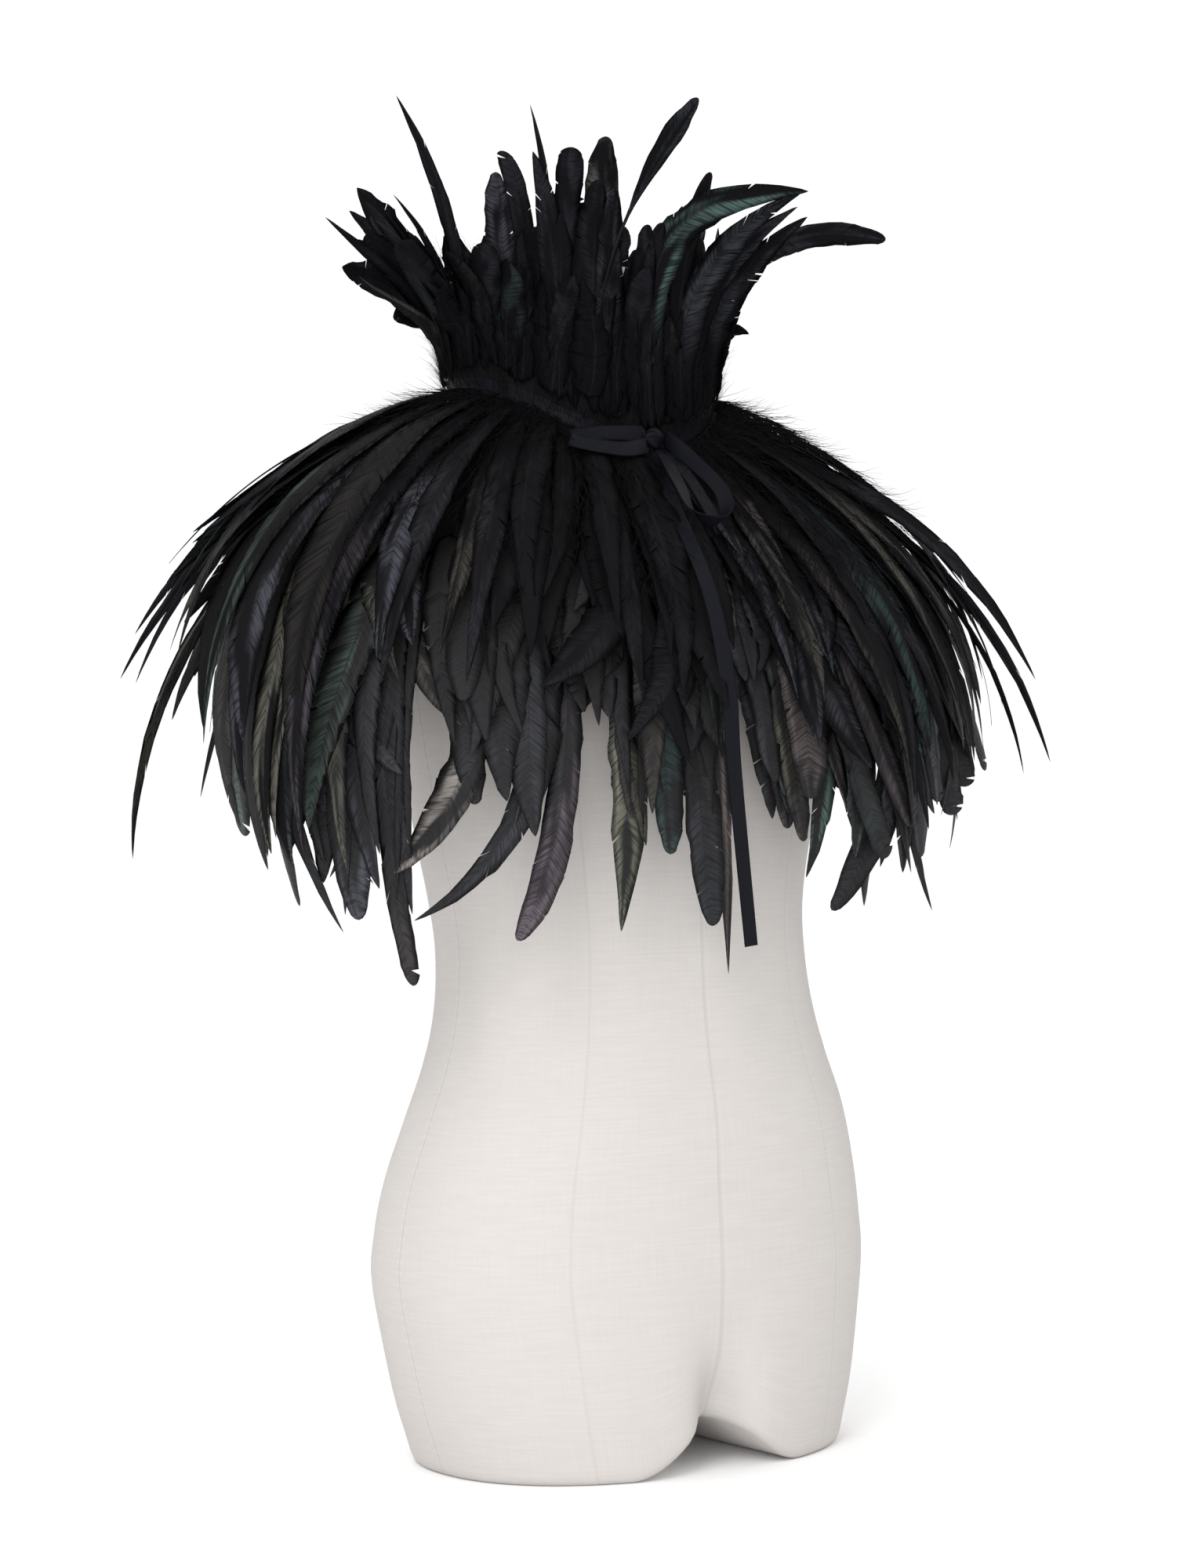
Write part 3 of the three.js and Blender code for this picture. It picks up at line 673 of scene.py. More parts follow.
def strandAlong(points, sideRoot, sideTip, width, shape, tone, cup):
    # four places that the strand passes through, turned into one smooth curve
    q = [np.asarray(p, float) * mm for p in points]
    b = (-5 * q[0] + 18 * q[1] - 9 * q[2] + 2 * q[3]) / 6
    c = (2 * q[0] - 9 * q[1] + 18 * q[2] - 5 * q[3]) / 6
    return {"spineA": q[0], "spineB": b, "spineC": c, "spineD": q[3], "sideRoot": sideRoot,
            "sideTip": sideTip, "halfWide": width * mm / 2, "shape": shape, "tone": tone, "cup": cup}


def turned(side, axis, degrees):
    return np.array(Matrix.Rotation(math.radians(degrees), 3, Vector(axis)) @ Vector(side))


def featherOn(surface, facing, f):
    # one feather on a surface: its free end may flare out and swing round
    places, spots = [], []
    for v in (0, 1 / 3, 2 / 3, 1):
        along = f["start"] + v * f["length"]
        degrees = f["degrees"] + f["swing"] * v ** f.get("hooks", 2) + f["bow"] * 4 * v * (1 - v)
        place, outward, ahead, sideways = spot(surface, degrees, along)
        free = max(0.0, (v - f["freeFrom"]) / (1 - f["freeFrom"]))
        lift = f["lift"](along) + f["flare"] * free ** f.get("bends", 0.8 if f["flare"] > 20 else 1.7)
        place = place + outward * facing * lift - np.array([0, 0, f.get("droop", 0) * v ** 3])
        places.append(place)
        spots.append((outward * facing, ahead, sideways))
    sides = []
    rootTwist = f["twist"] * 0.5 if abs(f["twist"]) > 40 and f["flare"] > 12 else 0.0
    headings = (spots[0][1], unit(places[3] - places[2]))
    ends = zip((spots[0], spots[3]), headings, (rootTwist, f["twist"]))
    for (outward, ahead, sideways), heading, twist in ends:
        side = unit(np.cross(outward, ahead))
        sides.append(turned(unit(side - heading * (side @ heading)), heading, twist))
    kind = bladeNames.index(f["shape"]) * blade["kinds"] + int(f["tone"][2] * 97) % blade["kinds"]
    return strandAlong(places, *sides, f["width"], kind, f["tone"], f["cup"])


def pickTone(random, sheenShare, side):
    # most feathers are nearly black; on some, painted sheen shows green, teal, blue, plum, brown or olive
    hue = float(random.choice(hueShares["hue"], p=hueShares[side]))
    sheen = float(min(1.0, random.random() ** 1.6 * sheenShare * 1.3))
    return (min(0.92, hue + 0.05 * random.random()), sheen, float(random.random()))


def pickShape(random, weights):
    names = list(weights)
    chances = np.array([weights[n] for n in names], float)
    return names[int(random.choice(len(names), p=chances / chances.sum()))]


formSections = {
    "height": [0, 40, 75, 118, 142, 178, 217, 256, 288, 322, 350, 388, 430, 468, 500, 530, 560, 585, 605,
               621, 635, 647, 659, 671, 690, 728, 747, 752],
    "half": [140, 151, 158.5, 165.5, 164.5, 159, 148, 134, 126, 122.5, 124, 131, 139, 146, 150, 154, 159,
             163, 162, 154, 137, 115, 89, 67, 58, 55, 54, 50],
    "front": [-110, -112, -112, -111, -110, -109, -108, -102, -98, -97, -97, -100, -105, -111, -111, -102,
              -86, -71, -59, -50, -44, -39, -36, -35, -34, -33, -32, -28],
    "back": [116, 120, 122, 123, 120, 111, 97, 87, 84, 87, 92, 96, 99, 101, 103, 105, 106, 105, 102, 98,
             94, 90, 86, 81, 78, 76, 75, 71],
}
formShape = {
    "squareness": 2.25,
    "archHalf": 64.0,
    "archUp": 31.0,
    "crease": 26.0,
    "clear": 1.6,
    "columns": 176,
}
formSeams = [
    # where each seam runs, as a share of the way round, and how far it and its stitches show
    {"turn": 0.505, "strength": 0.5, "stitches": 0.8},
    {"turn": 0.655, "strength": 0.35, "stitches": 0.0},
    {"turn": 0.750, "strength": 0.55, "stitches": 0.1},
    {"turn": 0.845, "strength": 0.35, "stitches": 0.3},
    {"turn": 0.995, "strength": 0.5, "stitches": 0.8},
    {"turn": 0.250, "strength": 0.55, "stitches": 0.1},
]


def archUp(x):
    # how high the base is cut at a place across it
    share = min(1.0, abs(x) / formShape["archHalf"])
    return formShape["archUp"] * (1 - share * share * (3 - 2 * share)) ** 1.15


def buildForm(material):
    sections = {k: np.array(v, float) for k, v in formSections.items()}
    index = np.arange(len(sections["height"]))
    heights = np.concatenate([[0, 1.2, 3.5, 7], np.linspace(12, 744, 124), [747, 749.5, 751.2, 752]])
    places = np.interp(heights, sections["height"], index)
    half, front, back = (smoothColumn(sections[k], places) for k in ("half", "front", "back"))
    columns = formShape["columns"]
    turns = np.arange(columns) / columns * 2 * math.pi
    power = 2 / formShape["squareness"]
    c, s = np.cos(turns), np.sin(turns)
    unitX, unitY = np.sign(c) * np.abs(c) ** power, np.sign(s) * np.abs(s) ** power
    points, uv = [], []
    for z, a, f, b in zip(heights, half, front, back):
        inset = formShape["clear"] * min(1.0, max(0.0, (z - 540) / 40))  # clear of the yoke
        a, f, b = (v - math.copysign(inset, v) for v in (a, f, b))
        rounding = {0: 5.0, 1.2: 2.6, 3.5: 1.0, 7: 0.2}.get(float(z), 0.0)
        for k in range(columns):
            x = (a - rounding) * unitX[k]
            y = (f + b) / 2 + ((b - f) / 2 - rounding) * unitY[k]
            low = max(0.0, 1 - z / 95.0)
            up = z + archUp(x) * low * low * (3 - 2 * low)
            fade = max(0.0, 1 - z / 140.0) ** 1.7
            groove = formShape["crease"] * fade * math.exp(-((x / (15 + 0.12 * z)) ** 2))
            y += groove * (1 if unitY[k] < 0 else -0.6) * abs(unitY[k])
            points.append((x, y + middleShiftY, up))
            uv.append((k / columns, z * mm))
    rows = len(heights)
    faces = []
    for r in range(rows - 1):
        for k in range(columns):
            n = (k + 1) % columns
            faces.append([r * columns + k, r * columns + n, (r + 1) * columns + n, (r + 1) * columns + k])
    for base, order in ((0, -1), ((rows - 1) * columns, 1)):
        for k in range(columns // 2):
            a, b = base + k, base + (k + 1)
            d, e = base + (columns - k) % columns, base + columns - k - 1
            ring = [a, b, e, d] if k else [a, b, e]
            if k == columns // 2 - 1:
                ring = [a, b, d]
            faces.append(ring[::order])
    mesh = makeMesh("dressForm", [np.array(p) for p in points], faces, material)
    layer = mesh.uv_layers.new(name="formWrap")
    corners = np.empty(len(mesh.loops), np.int32)
    mesh.loops.foreach_get("vertex_index", corners)
    values = np.asarray(uv, np.float32)[corners]
    sidesCount = (rows - 1) * columns * 4
    wrapped = values[:sidesCount].reshape(-1, 4, 2)
    over = wrapped[:, :, 0].max(1) - wrapped[:, :, 0].min(1) > 0.5
    wrapped[over, :, 0] = np.where(wrapped[over, :, 0] < 0.5, wrapped[over, :, 0] + 1, wrapped[over, :, 0])
    layer.data.foreach_set("uv", values.ravel())
    return makeObject("dressForm", turnOutwards(mesh))


formPiece = buildForm(linenMaterial())
settle(formPiece, ["dress_form"])
print("dress form made")


def ringGrid(surface, along, lift, columns, rows, slit=3.0, wave=0.0):
    # a strip round the neck, open at the front, that may ripple towards its far edge
    random = np.random.default_rng(5)
    phases = random.random(4) * 6.3
    grid = []
    for r in range(rows + 1):
        line = []
        for c in range(columns + 1):
            degrees = slit + (360 - 2 * slit) * c / columns
            down = along[0] + (along[1] - along[0]) * r / rows
            place, outward, ahead, sideways = spot(surface, degrees, down)
            turn = math.radians(degrees)
            ripple = sum(math.sin(turn * k + p) for k, p in zip((7, 11, 17, 23), phases)) * wave * r / rows
            line.append(place + outward * (lift + ripple))
        grid.append(line)
    return np.array(grid)


clothFinish = plainClothMaterial()
satinFinish = ribbonMaterial()

yokeSize = {"from": 0.0, "to": 143.0, "thick": 1.1}  # millimetres down the shoulders
yokePiece = makeObject("yokeCloth", clothShell(
    "yokeCloth",
    ringGrid(capePoint, (yokeSize["from"], yokeSize["to"]), 0.0, 150, 24, wave=0.5),
    ringGrid(capePoint, (yokeSize["from"], yokeSize["to"]), -yokeSize["thick"], 150, 24, wave=0.5),
    clothFinish, "yokeCut",
))
settle(yokePiece, ["yoke"])

standSize = {"from": 0.1, "to": 58.0, "thick": 1.1}  # millimetres up the neck
standPiece = makeObject("collarStand", clothShell(
    "collarStand",
    ringGrid(collarPoint, (standSize["from"], standSize["to"]), 0.0, 150, 10),
    ringGrid(collarPoint, (standSize["from"], standSize["to"]), -standSize["thick"], 150, 10),
    clothFinish, "standCut",
))
settle(standPiece, ["collar_stand"])

bandSize = {"from": 0.2, "to": 12.5, "thick": 0.7}
bandPiece = makeObject("neckBand", clothShell(
    "neckBand",
    ringGrid(collarPoint, (bandSize["from"], bandSize["to"]), 0.3 + bandSize["thick"], 220, 6, wave=0.12),
    ringGrid(collarPoint, (bandSize["from"], bandSize["to"]), 0.3, 220, 6, wave=0.12),
    satinFinish, "ribbonRun",
))
settle(bandPiece, ["neck_band"])
print("yoke, collar stand and neck band made")


featherFinish = {kind: featherMaterial(kind) for kind in featherKinds}
downFinish = downMaterial()
strandTree = layingTree()
blanks = [
    bladeBlank(name, 11 + 7 * k + i) for i, name in enumerate(bladeNames) for k in range(blade["kinds"])
]
bladeBlanks = blankCollection("blade", blanks)
hairBlanks = blankCollection("hair", [hairBlank()])

capeRows = {
    # lists run from the top row down; lengths are in millimetres and turns in degrees
    "first": 5.0,
    "spacing": 33.0,
    "rows": 5,
    "depth": 6.8,  # what each row adds to the pile below it
    "perRow": [76, 72, 72, 64, 56],
    "widths": [31, 31, 32, 32, 30],
    "above": [4.6, 3.4, 1.8, 1.6, 1.6],
    "layers": [0.9, 1.2, 2.4, 3.4, 3.8],
    "twists": [4, 6, 14, 30, 44],
    "cups": [0.01, 0.02, 0.04, 0.08, 0.10],
    "swings": [6, 9, 15, 22, 26],
    "freeFrom": [0.5, 0.65, 0.68, 0.68, 0.6],  # the share of a feather that lies close
    "flares": [9, 7, 6, 6, 8],
    "endsAbove": [62, 44, 24, 8, -4],  # the hem
    # how much sheen is painted on each row's feathers
    "sheen": [0.5, 0.7, 1.0, 1.2, 1.2],
    "ragged": 58.0,  # how unevenly a row ends
    "shortest": 100.0,
    "loneAbove": 4.6,
    "fullAt": -98.0,  # where the top rows stand fuller, how widely and by how much
    "fullHalf": 34.0,
    "fullRise": 7.0,
}
hemLine = {
    # how far down the cape the close feathers end, by the angle round it; the gaps are the photo's own
    "angle": [
        -180, -150, -120, -105, -96, -88, -80, -70, -66, -63, -60, -57, -53, -48,
        -44, -41, -38, -34, -31, -28, -22, -14, -8, -3, 0, 4, 8, 13,
        16, 19, 22, 26, 36, 46, 54, 62, 90, 120, 150, 180,
    ],
    "down": [
        272, 278, 272, 262, 286, 346, 392, 402, 378, 330, 262, 256, 294, 294,
        280, 246, 200, 236, 268, 280, 286, 280, 270, 250, 200, 210, 262, 276,
        250, 214, 268, 316, 336, 338, 336, 322, 290, 296, 282, 272,
    ],
}
paintedSheenRound = {
    # how much sheen is painted on the feathers, by the angle round the cape; most on the sides that the
    # light catches
    "angle": [-180, -112, -100, -88, -70, -62, -50, -12, 0, 12, 36, 60, 180],
    "share": [0.8, 0.8, 1.5, 2.5, 2.4, 1.0, 0.14, 0.2, 1.2, 1.9, 1.9, 1.4, 0.8],
}
hueShares = {
    # the share of feathers whose painted sheen takes each colour: green, teal, blue, black, plum, brown,
    # olive
    "hue": [0.02, 0.14, 0.30, 0.46, 0.60, 0.72, 0.84],
    "left": [0.13, 0.03, 0.34, 0.16, 0.12, 0.10, 0.12],
    "right": [0.06, 0.04, 0.46, 0.16, 0.14, 0.09, 0.05],
}
topShapes = {"pointed": 4, "ragged": 5, "broad": 3, "wisp": 3}
hemShapes = {"rounded": 2.5, "broad": 4, "pointed": 5, "ragged": 5, "slim": 2, "notched": 1, "wisp": 1}
loneFeathers = {
    # row, angle round the neck, root, length, width, flare, droop, swing, twist, shape, the painted sheen's
    # hue, and how much sheen is painted
    "farLeftThin": (1, 237, 8, 212, 12, 72, 24, 0, 60, "slim", 0.3, 0.2),
    "farLeftSecond": (1, 230, 8, 192, 15, 38, 20, -3, 60, "slim", 0.46, 0.2),
    "farLeftThird": (1, 246, 10, 200, 15, 32, 18, 3, -60, "slim", 0.3, 0.2),
    "leftShoulderTop": (1, 262, 6, 190, 16, 22, 6, 3, 14, "rounded", 0.3, 0.3),
    "shoulderSlopeFirst": (1, 258, 1, 172, 28, 15, 4, 2, 12, "broad", 0.3, 0.3),
    "shoulderSlopeSecond": (1, 268, 1, 176, 28, 14, 4, -2, -10, "ragged", 0.3, 0.3),
    "shoulderSlopeThird": (1, 250, 1, 168, 26, 16, 6, 2, 24, "pointed", 0.46, 0.3),
    "leftHanging": (2, 241, 40, 288, 12, 42, 4, 2, 50, "slim", 0.82, 0.3),
    "shoulderEdgeFirst": (1, 240, 6, 186, 22, 20, 18, 2, 64, "ragged", 0.3, 0.2),
    "shoulderEdgeSecond": (1, 246, 6, 178, 22, 22, 18, 3, 58, "rounded", 0.3, 0.2),
    "shoulderEdgeThird": (1, 254, 6, 184, 23, 18, 14, 2, 48, "ragged", 0.04, 0.3),
    "shoulderEdgeFourth": (2, 234, 38, 176, 20, 26, 18, 2, 64, "slim", 0.3, 0.2),
    "shoulderEdgeFifth": (2, 250, 38, 176, 17, 24, 12, 3, -50, "pointed", 0.3, 0.2),
    "leftFallingFirst": (3, 240, 71, 178, 14, 28, 8, 1, 60, "slim", 0.3, 0.2),
    "leftFallingSecond": (2, 248, 40, 196, 15, 26, 12, 2, -60, "pointed", 0.3, 0.2),
    "leftThinLow": (3, 246, 74, 190, 12, 26, 0, 2, -30, "slim", 0.3, 0.3),
    "leftLow": (4, 238, 104, 196, 14, 14, 0, 3, 20, "pointed", 0.46, 0.3),
    "leftFrontGreen": (4, 275, 104, 204, 24, 6, 0, 2, 10, "rounded", 0.08, 1.8),
    "leftFrontLow": (4, 279, 104, 214, 20, 6, 0, 2, -14, "rounded", 0.14, 0.4),
    "leftOlive": (2, 284, 52, 172, 27, 5, 0, 1, 4, "rounded", 0.80, 0.75),
    "leftTeal": (4, 288, 104, 160, 25, 4, 0, 1, 6, "broad", 0.12, 1.6),
    "leftTealLow": (5, 291, 137, 135, 25, 3, 0, 1, -8, "broad", 0.10, 1.8),
    "slantingFirst": (2, 337, 55, 158, 30, 3, 0, -20, 6, "broad", 0.3, 0.12),
    "slantingSecond": (2, 350, 50, 176, 30, 3, 0, -20, -6, "ragged", 0.3, 0.12),
    "slantingThird": (2, 12, 60, 180, 28, 3, 0, 14, 8, "broad", 0.32, 0.4),
    "slantingFourth": (2, 24, 60, 190, 26, 4, 0, 12, -8, "pointed", 0.32, 0.5),
    "leftPlum": (5, 286, 137, 180, 22, 4, 0, 2, -12, "rounded", 0.5, 0.6),
    "brownTip": (5, 279, 137, 240, 20, 10, 0, 3, 24, "rounded", 0.62, 0.5),
    "lowDense": (5, 284, 137, 212, 27, 6, 0, 3, 16, "ragged", 0.3, 0.2),
    "lowDenseSecond": (5, 289, 137, 224, 26, 5, 0, -3, -14, "broad", 0.46, 0.3),
    "lowDenseThird": (4, 294, 110, 222, 26, 4, 0, 2, 8, "pointed", 0.3, 0.2),
    "lowLeftBlack": (5, 291, 137, 240, 19, 7, 0, -2, 20, "slim", 0.3, 0.2),
    "lowestNotched": (5, 296, 137, 272, 13, 6, 0, 2, -16, "notched", 0.66, 0.3),
    "lowBlack": (5, 297, 137, 244, 20, 3, 0, 1, 8, "slim", 0.3, 0.1),
    "lowBlackRight": (5, 299, 137, 228, 16, 4, 0, 0, 8, "ragged", 0.3, 0.2),
    "lowFine": (5, 299, 137, 222, 10, 5, 0, -2, -24, "pointed", 0.3, 0.1),
    "greyTaupe": (5, 309, 137, 206, 28, 4, 0, -12, 10, "broad", 0.97, 1.4),
    "leftCurl": (5, 317, 137, 232, 25, 3, 0, -18, -18, "pointed", 0.34, 0.5),
    "lowWideBlack": (5, 288, 137, 226, 24, 5, 0, 4, -12, "ragged", 0.3, 0.2),
    "lowCrossing": (5, 282, 137, 216, 22, 5, 0, 12, 10, "pointed", 0.46, 0.4),
    "lowCrossingBack": (5, 296, 137, 220, 20, 4, 0, -9, -10, "pointed", 0.3, 0.3),
    "middleBlack": (4, 316, 104, 190, 26, 4, 0, 1, 6, "broad", 0.3, 0.3),
    "middleOlive": (3, 338, 71, 190, 27, 4, 0, -3, -6, "ragged", 0.76, 0.5),
    "rightWideBlack": (5, 42, 137, 158, 27, 5, 0, 5, 12, "ragged", 0.3, 0.2),
    "rightGreen": (4, 28, 104, 186, 25, 4, 0, -4, -8, "broad", 0.06, 0.7),
    "roundShort": (5, 307, 137, 150, 24, 3, 0, 2, 6, "rounded", 0.3, 0.2),
    "greyTip": (5, 322, 137, 222, 22, 4, 0, -8, 16, "rounded", 0.57, 1.6),
    "plumMiddle": (5, 317.5, 130, 160, 22, 2, 0, -3, -10, "pointed", 0.56, 1.5),
    "midPointed": (4, 331, 104, 142, 20, 3, 0, 1, 8, "pointed", 0.3, 0.2),
    "midShort": (5, 333, 130, 134, 20, 2, 0, 1, -8, "rounded", 0.66, 0.4),
    "greenLong": (5, 333, 137, 196, 30, 3, 0, -2, 12, "pointed", 0.84, 1.7),
    "midBlack": (5, 341, 137, 142, 24, 3, 0, 0, 4, "rounded", 0.14, 0.4),
    "midOlive": (5, 335, 130, 148, 22, 3, 0, 1, -6, "ragged", 0.74, 0.6),
    "longBlack": (5, 348.5, 137, 180, 27, 3, 0, 2, 10, "rounded", 0.3, 0.3),
    "brownPoint": (5, 354, 137, 208, 16, 4, 0, 0, -6, "pointed", 0.68, 1.5),
    "blueByRibbon": (3, 352, 71, 150, 18, 3, 0, 1, 8, "slim", 0.34, 1.6),
    "rightPlum": (4, 5, 104, 128, 19, 3, 0, 1, 6, "rounded", 0.5, 0.6),
    "rightPlumLow": (5, 10, 137, 124, 22, 2, 0, 0, -6, "rounded", 0.58, 1.2),
    "rightTeal": (5, 21, 137, 156, 26, 3, 0, -7, 8, "pointed", 0.06, 1.4),
    "rightCurl": (5, 38.5, 137, 180, 25, 6, 0, -19, 20, "rounded", 0.3, 0.2),
    "rightOlive": (4, 11, 104, 166, 24, 3, 0, 1, -8, "rounded", 0.78, 0.8),
    "rightBlue": (5, 25, 137, 150, 20, 4, 0, 2, 10, "slim", 0.30, 0.8),
    "rightThin": (5, 38, 137, 214, 10, 12, 0, 7, 30, "slim", 0.22, 0.5),
    "rightLow": (5, 46, 137, 152, 20, 6, 0, 2, 10, "notched", 0.3, 0.2),
    "farRightLow": (4, 58, 104, 180, 14, 14, 4, 2, 20, "notched", 0.3, 0.2),
    "farRightHanging": (2, 57, 40, 236, 14, 26, 14, 2, -40, "slim", 0.3, 0.2),
    "lowRightWide": (5, 38, 137, 150, 25, 5, 0, 3, 10, "ragged", 0.3, 0.3),
    "farRightWide": (5, 51, 137, 168, 22, 8, 0, 2, 40, "notched", 0.3, 0.2),
    "farRightBlunt": (5, 57, 137, 158, 20, 10, 0, 1, 60, "notched", 0.62, 0.3),
    "farRightThin": (1, 57, 8, 206, 13, 44, 34, 0, 64, "slim", 0.3, 0.2),
    "farRightLong": (2, 60, 40, 222, 13, 42, 30, 2, -60, "slim", 0.34, 0.3),
    "backStray": (1, 140, 8, 180, 15, 32, 0, 3, 20, "slim", 0.3, 0.2),
}


def bearingOf(degrees):
    # the same angle between -180 and 180, nought at the front
    return (degrees + 180) % 360 - 180


def toneOf(degrees, hue, sheen):
    # a lone feather's painted sheen, its hue and strength, with a seed of its own
    return (hue, sheen, (degrees * 0.137) % 1)


def shoulderRise(degrees, number):
    # the top rows stand fuller over the wearer's right shoulder
    near = (bearingOf(degrees) - capeRows["fullAt"]) / capeRows["fullHalf"]
    return capeRows["fullRise"] * math.exp(-near * near) if number < 3 else 0.0


def restingLift(number, start, above, rise=0.0):
    # each row lies on those below it, and rises as it passes their roots
    def lift(along):
        passed = min((along - start) / capeRows["spacing"], capeRows["rows"] - number + 0.3)
        return above + capeRows["depth"] * max(0.0, passed) + rise * min(1.0, max(0.0, along) / 45)

    return lift


def capeRow(number):
    random = np.random.default_rng(100 + number)
    first = capeRows["first"] + (number - 1) * capeRows["spacing"]
    k = number - 1
    count = capeRows["perRow"][k]
    strands = []
    for i in range(count):
        degrees = 1 + 358 * (i + 0.5 + 0.5 * (random.random() - 0.5)) / count
        start = first + (i % 3) * capeRows["spacing"] / 3
        if number == 1 and i % 3 == 0:
            start = -1.2
        bearing = bearingOf(degrees)
        hem = np.interp(bearing, hemLine["angle"], hemLine["down"])
        swing = capeRows["swings"][k] * (random.random() - 0.5) * (min(1.2, (hem - start) / 180)) ** 2
        hem = np.interp(bearing + swing, hemLine["angle"], hemLine["down"])
        short = capeRows["ragged"] * random.random() ** 1.4 + capeRows["endsAbove"][k]
        start = min(start, hem - short - capeRows["shortest"])
        length = hem - short - start
        sheenShare = capeRows["sheen"][k] * np.interp(bearing, paintedSheenRound["angle"], paintedSheenRound["share"])
        strands.append(featherOn(capePoint, 1, {
            "degrees": degrees, "start": start, "length": length,
            "width": capeRows["widths"][k] * (0.55 + 0.62 * random.random()),
            "lift": restingLift(
                number, start, capeRows["above"][k] + random.random() * capeRows["layers"][k],
                shoulderRise(degrees, number),
            ),
            "flare": capeRows["flares"][k] * (random.random() ** 2) * 1.3 - 0.5,
            "freeFrom": capeRows["freeFrom"][k], "swing": swing, "bow": 5.0 * (random.random() - 0.5),
            "twist": capeRows["twists"][k] * (random.random() - 0.5),
            "shape": pickShape(random, topShapes if number < 3 else hemShapes),
            "tone": pickTone(random, sheenShare, "left" if bearing < -20 else "right"),
            "cup": capeRows["cups"][k] * random.random(),
        }))
    for lone in loneFeathers.values():
        row, degrees, start, length, width, flare, droop, swing, twist, shape, hue, sheen = lone
        if row == number:
            strands.append(featherOn(capePoint, 1, {
                "degrees": degrees, "start": start, "length": length, "width": width,
                "lift": restingLift(number, start, capeRows["loneAbove"], shoulderRise(degrees, number)),
                "flare": flare, "droop": droop, "bends": 1.15 if flare > 20 else 1.7, "freeFrom": 0.4,
                "swing": swing, "hooks": 3 if number > 3 else 1.3, "bow": -0.15 * swing, "twist": twist,
                "shape": shape, "tone": toneOf(degrees, hue, sheen), "cup": 0.06,
            }))
    return strands


for number in range(1, capeRows["rows"] + 1):
    strands = capeRow(number)
    mesh = layStrands("capeFeathers%d" % number, strands, strandTree, bladeBlanks,
                      featherFinish["hackle" if number < 3 else "tail"])
    rowPiece = makeObject("capeFeathers%d" % number, mesh)
    settle(rowPiece, ["cape_feathers_row_%d" % number])
    print("cape row", number, "with", len(strands), "feathers")


collarRows = {
    # the outer row faces the viewer and the inner one the neck; spread is how unevenly the roots stand, and
    # sheen is how much sheen is painted on them
    "outer": {
        "facing": 1, "count": 66, "start": 13.0, "spread": 12.0, "width": 30,
        "lift": 1.2, "sheen": 0.2, "flare": 1.0, "seed": 31,
    },
    "inner": {
        "facing": -1, "count": 54, "start": 8.0, "spread": 16.0, "width": 26,
        "lift": 2.0, "sheen": 0.3, "flare": 0.2, "seed": 37,
    },
}
collarTop = {
    # how high the close feathers of the collar reach and how far they fall outwards, by angle
    "angle": [
        -180, -160, -140, -122, -100, -82, -70, -60, -50, -30, -12, 2, 12, 26, 40, 60, 90, 120, 150, 180,
    ],
    "rise": [
        84, 100, 116, 122, 116, 106, 94, 116, 150, 160, 154, 138, 140, 150, 126, 108, 116, 132, 118, 84,
    ],
    "out": [
        22, 26, 32, 34, 28, 22, 16, 10, 8, 8, 9, 10, 8, 2, -8, -14, -12, 4, 20, 22,
    ],
}
collarShapes = {"rounded": 3, "broad": 4, "pointed": 2, "ragged": 5, "notched": 2, "wisp": 2}
